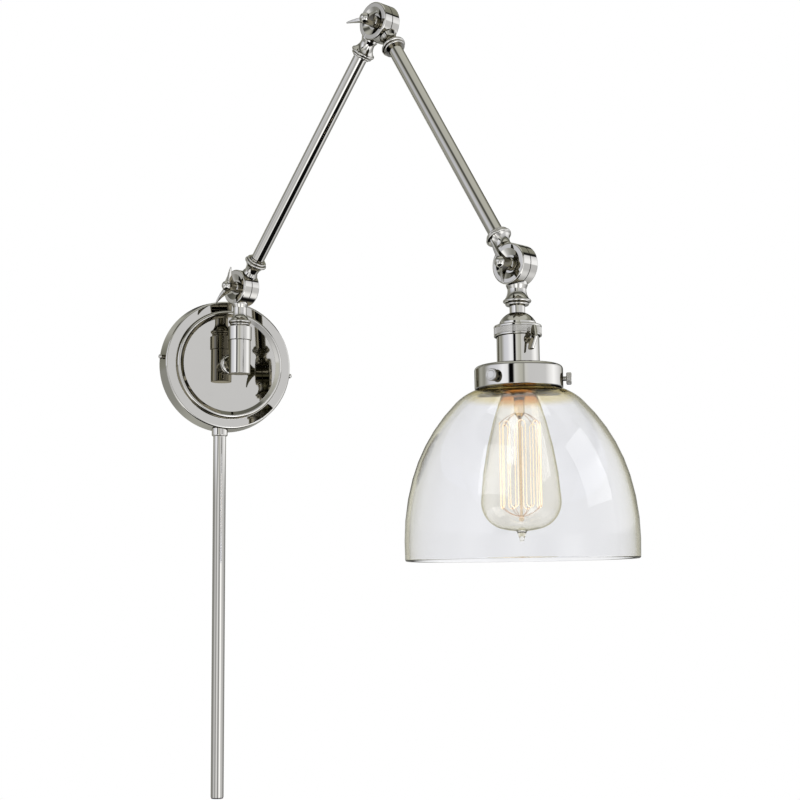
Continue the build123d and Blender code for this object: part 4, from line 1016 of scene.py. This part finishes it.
pip = bent(
    [
        pip_root[:],
        (PIP_R, pip_root.y + 0.5, 0.6),
        (PIP_TIP_R + 0.4, PIP_END - 2.6, 1.0),
        (PIP_TIP_R, PIP_END, 1.2),
        (0, PIP_END),
    ]
)
inner_foot = (BULB_FOOT[0], BULB_FOOT[1] - BULB_GLASS_T)
bulb_in_foot = arc_from((0, BULB_BOTTOM - BULB_GLASS_T), (1, 0), inner_foot)
bulb_in = inset_run(bulb_body, BULB_GLASS_T)
bulb_in_join = [bulb_in_foot[-1], bulb_in[0]]
neck_edge = straight((1, 0), bulb_in[-1][0], bulb_body[0][0])
bulb_runs = [bulb_body + bulb_foot[1:]] + pip + [bulb_in_foot, bulb_in_join, bulb_in, neck_edge]
lathe("bulb_envelope", bulb_runs, HEAD, "head", "bulb_glass", "bulb_glass")


# Trees of nodes for what repeats: milled ridges, screw threads, the filament and its hooks

WIRE_SIDES = 8
HOOK_R = 0.55
HOOK_SWEEP = 1.4 * pi
# Where a support wire sags most, as a share of its reach inwards from the hook
SAG_AT = 0.35
SHARP_ANGLE = 50


def geometry_tree(name, inputs):
    tree = bpy.data.node_groups.new(name, "GeometryNodeTree")
    for label, kind, value in inputs:
        socket = tree.interface.new_socket(label, in_out="INPUT", socket_type=kind)
        socket.default_value = value
    tree.interface.new_socket("Finish", in_out="INPUT", socket_type="NodeSocketMaterial")
    tree.interface.new_socket("Geometry", in_out="OUTPUT", socket_type="NodeSocketGeometry")
    bench = Bench(tree)
    return bench, bench.add("NodeGroupInput").outputs


def end_tree(bench, given, geometry):
    """Realizes the instances, shades them smooth and gives them the finish."""
    real = bench.add("GeometryNodeRealizeInstances", Geometry=geometry)
    smooth = bench.add("GeometryNodeSetShadeSmooth", Geometry=real.outputs[0])
    painted = bench.add("GeometryNodeSetMaterial", Geometry=smooth.outputs[0])
    bench.feed(painted, "Material", given["Finish"])
    bench.add("NodeGroupOutput", Geometry=painted.outputs[0])
    return bench.tree


def instances_round(bench, count, radius, shape, phase=None):
    """The shape at even steps round a circle, each turned to face outwards."""
    points = bench.add("GeometryNodeMeshCircle", Vertices=count, Radius=radius).outputs[0]
    if phase is not None:
        turn = bench.add("ShaderNodeCombineXYZ", Z=phase)
        turned = bench.add("GeometryNodeTransform", Geometry=points, Rotation=turn.outputs[0])
        points = turned.outputs[0]
    place = bench.add("GeometryNodeInputPosition")
    facing = bench.add("FunctionNodeAlignRotationToVector", {"axis": "X"}, Vector=place.outputs[0])
    ring = bench.add("GeometryNodeInstanceOnPoints", Points=points, Instance=shape)
    bench.feed(ring, "Rotation", facing.outputs[0])
    return ring.outputs[0]


def wire(bench, curve, radius):
    """A round wire along a curve."""
    section = bench.add("GeometryNodeCurvePrimitiveCircle", Resolution=WIRE_SIDES, Radius=radius)
    swept = bench.add("GeometryNodeCurveToMesh", Curve=curve, Fill_Caps=True)
    bench.feed(swept, "Profile Curve", section.outputs["Curve"])
    return swept.outputs[0]


def make_ridge_tree():
    """Milled ridges standing side by side round a drum."""
    bench, given = geometry_tree(
        "ridge_ring",
        [
            ("Count", WHOLE, 60),
            ("Drum Radius", FLOAT, 5.0),
            ("Ridge Width", FLOAT, 0.5),
            ("Ridge Length", FLOAT, 4.0),
        ],
    )
    bar = bench.add("GeometryNodeMeshCylinder", Vertices=WIRE_SIDES, Depth=given["Ridge Length"])
    bench.feed(bar, "Radius", bench.math("MULTIPLY", given["Ridge Width"], 0.5))
    ring = instances_round(bench, given["Count"], given["Drum Radius"], bar.outputs["Mesh"])
    return end_tree(bench, given, ring)


def make_thread_tree():
    """A screw thread: one rounded ridge wound up a shank."""
    bench, given = geometry_tree(
        "thread_turns",
        [
            ("Turns", FLOAT, 5.0),
            ("Radius", FLOAT, 5.0),
            ("Length", FLOAT, 5.0),
            ("Ridge Radius", FLOAT, 0.4),
        ],
    )
    coil = bench.add("GeometryNodeCurveSpiral", Resolution=48, Rotations=given["Turns"])
    bench.feed(coil, "Height", given["Length"])
    bench.feed(coil, "Start Radius", given["Radius"])
    bench.feed(coil, "End Radius", given["Radius"])
    return end_tree(bench, given, wire(bench, coil.outputs[0], given["Ridge Radius"]))


def make_filament_tree():
    """One wire that zigzags round a cage.

    Its upright strands are joined by bends below and above in turn.
    """
    bench, given = geometry_tree(
        "filament_cage",
        [
            ("Strands", WHOLE, 16),
            ("Cage Radius", FLOAT, 16.0),
            ("Top", FLOAT, 130.0),
            ("Bottom", FLOAT, 190.0),
            ("Wire Radius", FLOAT, 0.3),
        ],
    )
    half_step = bench.math("DIVIDE", pi, given["Strands"])
    upper = bench.add("ShaderNodeCombineXYZ", Z=given["Top"]).outputs[0]
    lower = bench.add("ShaderNodeCombineXYZ", Z=given["Bottom"]).outputs[0]
    line = bench.add("GeometryNodeCurvePrimitiveLine", Start=upper, End=lower)
    strand = wire(bench, line.outputs[0], given["Wire Radius"])
    joined = bench.add("GeometryNodeJoinGeometry")
    strands = instances_round(bench, given["Strands"], given["Cage Radius"], strand, half_step)
    bench.feed(joined, 0, strands)
    bend_r = bench.math("MULTIPLY", given["Cage Radius"], bench.math("SINE", half_step))
    bend_at = bench.math("MULTIPLY", given["Cage Radius"], bench.math("COSINE", half_step))
    pairs = bench.math("DIVIDE", given["Strands"], 2.0)
    step = bench.math("MULTIPLY", half_step, 2.0)
    for bend_place, start, phase in ((lower, 0.0, step), (upper, pi, 0.0)):
        arc = bench.add("GeometryNodeCurveArc", Resolution=12, Radius=bend_r)
        bench.feed(arc, "Start Angle", start)
        bench.feed(arc, "Sweep Angle", pi)
        upright = bench.add("GeometryNodeTransform", Geometry=arc.outputs["Curve"])
        bench.feed(upright, "Translation", bend_place)
        bench.feed(upright, "Rotation", (pi / 2, 0, pi / 2))
        bend = wire(bench, upright.outputs[0], given["Wire Radius"])
        bench.feed(joined, 0, instances_round(bench, pairs, bend_at, bend, phase))
    return end_tree(bench, given, joined.outputs[0])


def make_hook_tree():
    """Springy support wires that fan out from a stem to the bends, each ending in a small hook."""
    bench, given = geometry_tree(
        "support_hooks",
        [
            ("Count", WHOLE, 8),
            ("Phase", FLOAT, 0.0),
            ("Root Radius", FLOAT, 1.2),
            ("Root Height", FLOAT, 200.0),
            ("Reach", FLOAT, 16.0),
            ("Hook Height", FLOAT, 195.0),
            ("Sag", FLOAT, 2.0),
            ("Wire Radius", FLOAT, 0.2),
        ],
    )
    root = bench.add("ShaderNodeCombineXYZ", Z=given["Root Height"])
    bench.feed(root, "X", bench.math("SUBTRACT", given["Root Radius"], given["Reach"]))
    end = bench.add("ShaderNodeCombineXYZ", Z=given["Hook Height"])
    belly = bench.add("ShaderNodeCombineXYZ", X=bench.math("MULTIPLY", given["Reach"], -SAG_AT))
    middle = bench.math("ADD", given["Hook Height"], given["Root Height"])
    bench.feed(belly, "Z", bench.math("MULTIPLY_ADD", middle, 0.5, given["Sag"]))
    spring = bench.add("GeometryNodeCurveQuadraticBezier", Resolution=12, Start=root.outputs[0])
    bench.feed(spring, "Middle", belly.outputs[0])
    bench.feed(spring, "End", end.outputs[0])
    hook = bench.add("GeometryNodeCurveArc", Resolution=10, Radius=HOOK_R)
    bench.feed(hook, "Start Angle", -pi / 2)
    bench.feed(hook, "Sweep Angle", HOOK_SWEEP)
    curl = bench.add("GeometryNodeTransform", Geometry=hook.outputs["Curve"])
    bench.feed(curl, "Translation", end.outputs[0])
    bench.feed(curl, "Rotation", (pi / 2, 0, 0))
    both = bench.add("GeometryNodeJoinGeometry")
    bench.feed(both, 0, wire(bench, spring.outputs[0], given["Wire Radius"]))
    bench.feed(both, 0, wire(bench, curl.outputs[0], given["Wire Radius"]))
    ring = instances_round(bench, given["Count"], given["Reach"], both.outputs[0], given["Phase"])
    return end_tree(bench, given, ring)


def grow(name, tree, place, body, slot, *nodes, **sizes):
    """Runs a tree once and keeps what it makes as a plain mesh, laid into its place."""
    piece = link_piece(name, bpy.data.meshes.new(name))
    maker = piece.modifiers.new("maker", "NODES")
    maker.node_group = tree
    values = {"Finish": FINISHES[slot], **sizes}
    for socket in tree.interface.items_tree:
        label = socket.name.replace(" ", "_")
        if socket.in_out == "INPUT" and label in values:
            maker[socket.identifier] = values[label]
    mesh = settled(piece)
    mesh.transform(place)
    mesh.set_sharp_from_angle(angle=radians(SHARP_ANGLE))
    piece.data = mesh
    keep(piece, body, slot, *nodes)


RIDGES = make_ridge_tree()
THREAD = make_thread_tree()
CAGE = make_filament_tree()
HOOKS = make_hook_tree()


def lowered(place, distance):
    return place @ Matrix.Translation((0, 0, distance))


# Milled ridges round the socket cap's band
grow(
    "cap_ridges",
    RIDGES,
    lowered(HEAD, (MILL_FROM + MILL_END) / 2),
    "head",
    "polished_nickel",
    Count=120,
    Drum_Radius=CAP_BAND_R - 0.5,
    Ridge_Width=0.86,
    Ridge_Length=MILL_END - MILL_FROM - 0.5,
)

# Thumbscrews: milled head with two plain rims, shank with its thread
THUMB_R = 2.0
THUMB_ROOT_R = THUMB_R - 0.25
THUMB_TIP = 27.3
THUMB_THREAD_FROM = THUMB_TIP + 0.8
THUMB_HEAD_FROM = 37.9
THUMB_HEAD_END = 42.1
THUMB_HEAD_R = 5.0
THUMB_DRUM_R = THUMB_HEAD_R - 0.35
THUMB_DISH = 0.35
thumb_section = bent(
    [
        (0, THUMB_TIP),
        (THUMB_R - 0.7, THUMB_TIP, 0.3),
        (THUMB_ROOT_R, THUMB_THREAD_FROM, 0.2),
        (THUMB_ROOT_R, THUMB_HEAD_FROM, 0.3),
        (THUMB_DRUM_R, THUMB_HEAD_FROM, 0.5),
        (THUMB_DRUM_R, THUMB_HEAD_END, 0.6),
        (THUMB_HEAD_R - 1.6, THUMB_HEAD_END, 0.3),
        (THUMB_HEAD_R - 2.0, THUMB_HEAD_END - THUMB_DISH, 0.3),
        (0, THUMB_HEAD_END - THUMB_DISH),
    ]
)
for number, side in enumerate(("left", "rear", "right"), start=1):
    name = f"thumbscrew_{side}"
    body = f"shade_screw_{side}"
    node_name = f"shade_screw_{number}"
    place = radial(f"{body}_turn")
    lathe(name, thumb_section, place, body, "polished_nickel", node_name, spin=64)
    grow(
        f"{name}_ridges",
        RIDGES,
        lowered(place, (THUMB_HEAD_FROM + THUMB_HEAD_END) / 2),
        body,
        "polished_nickel",
        Count=36,
        Drum_Radius=THUMB_HEAD_R - 0.4,
        Ridge_Width=0.72,
        Ridge_Length=THUMB_HEAD_END - THUMB_HEAD_FROM - 1.0,
    )
    grow(
        f"{name}_thread",
        THREAD,
        lowered(place, THUMB_THREAD_FROM),
        body,
        "polished_nickel",
        Turns=12.0,
        Radius=THUMB_R - 0.3,
        Length=THUMB_HEAD_FROM - THUMB_TIP - 1.2,
        Ridge_Radius=0.28,
    )

# Screw base of the bulb: thin drawn brass with a rolled thread
BULB_BASE_R = 13.1
BULB_BASE_TOP = 77.0
BULB_BASE_TOP_R = 9.5
BULB_BASE_END = 101.0
BULB_BASE_FLOOR = BULB_BASE_END - 4.1
BASE_ROOT_R = 12.55
BASE_WALL = 0.6
base_section = bent(
    [
        (0, BULB_BASE_TOP),
        (BULB_BASE_TOP_R, BULB_BASE_TOP, 0.3),
        (BASE_ROOT_R, BULB_BASE_TOP + 3.4, 1.5),
        (BASE_ROOT_R, BULB_BASE_END - 6.2, 0.3),
        (BULB_BASE_R, BULB_BASE_END - 5.4, 0.3),
        (BULB_BASE_R, BULB_BASE_END, 0.15),
        (BULB_BASE_R - BASE_WALL, BULB_BASE_END, 0.15),
        (BULB_BASE_R - BASE_WALL, BULB_BASE_FLOOR),
        (0, BULB_BASE_FLOOR),
    ]
)
lathe("bulb_screw_base", base_section, HEAD, "head", "brass", "bulb_base", spin=96)
grow(
    "bulb_base_thread",
    THREAD,
    lowered(HEAD, BULB_BASE_TOP + 3.6),
    "head",
    "brass",
    Turns=4.0,
    Radius=BASE_ROOT_R - 0.1,
    Length=13.6,
    Ridge_Radius=0.62,
)

# Thread of the screw shell that takes the bulb
SCREW_SHELL_TOP = 74.0
SCREW_SHELL_R = 13.9
grow(
    "screw_shell_thread",
    THREAD,
    lowered(HEAD, SCREW_SHELL_TOP),
    "head",
    "brass",
    Turns=6.0,
    Radius=SCREW_SHELL_R,
    Length=22.0,
    Ridge_Radius=0.35,
)

# Filament cage and the wires that hold it
CAGE_R = 16.4
CAGE_TOP = 131.0
CAGE_END = 193.0
CAGE_STRANDS = 16
BEND_R = CAGE_R * sin(pi / CAGE_STRANDS)
BEND_AT = CAGE_R * cos(pi / CAGE_STRANDS)
HOOK_SEAT = 0.85
grow(
    "filament_cage",
    CAGE,
    HEAD,
    "head",
    "filament",
    "bulb_filament",
    Strands=CAGE_STRANDS,
    Cage_Radius=CAGE_R,
    Top=CAGE_TOP,
    Bottom=CAGE_END,
    Wire_Radius=0.36,
)
hook_sizes = {"Count": CAGE_STRANDS // 2, "Reach": BEND_AT, "Wire_Radius": 0.22}
grow(
    "support_hooks_below",
    HOOKS,
    HEAD,
    "head",
    "support_wire",
    "bulb_supports",
    Phase=2 * pi / CAGE_STRANDS,
    Root_Radius=1.3,
    Root_Height=203.0,
    Hook_Height=CAGE_END + BEND_R - HOOK_SEAT,
    Sag=2.2,
    **hook_sizes,
)
grow(
    "support_hooks_above",
    HOOKS,
    HEAD,
    "head",
    "support_wire",
    Phase=0.0,
    Root_Radius=4.3,
    Root_Height=120.5,
    Hook_Height=CAGE_TOP - BEND_R + HOOK_SEAT,
    Sag=-2.0,
    **hook_sizes,
)


# Cast pieces: the wing nuts and the key, with every edge softened as tumbling leaves it

WELD_M = 1e-6


def soften(name, node_name, body, voxel, passes):
    """A copy of a node in fine voxels, with its edges smoothed over."""
    cast = bmesh.new()
    cast.from_mesh(frame["nodes"][node_name].data)
    bmesh.ops.remove_doubles(cast, verts=cast.verts, dist=WELD_M)
    mesh = bpy.data.meshes.new(name)
    cast.to_mesh(mesh)
    cast.free()
    piece = link_piece(name, mesh)
    skin = piece.modifiers.new("skin", "REMESH")
    skin.mode = "VOXEL"
    skin.voxel_size = voxel * MM
    tumble = piece.modifiers.new("tumble", "SMOOTH")
    tumble.factor = 0.5
    tumble.iterations = passes
    finished = settled(piece)
    finished.materials.clear()
    finished.materials.append(FINISHES["polished_nickel"])
    finished.shade_smooth()
    piece.data = finished
    keep(piece, body, "polished_nickel", node_name)


for knuckle in ("lower", "elbow", "head"):
    soften(f"{knuckle}_wings", f"{knuckle}_wing_nut", f"{knuckle}_clamp", voxel=0.3, passes=8)
soften("turn_key", "switch_key", "light_switch", voxel=0.22, passes=6)
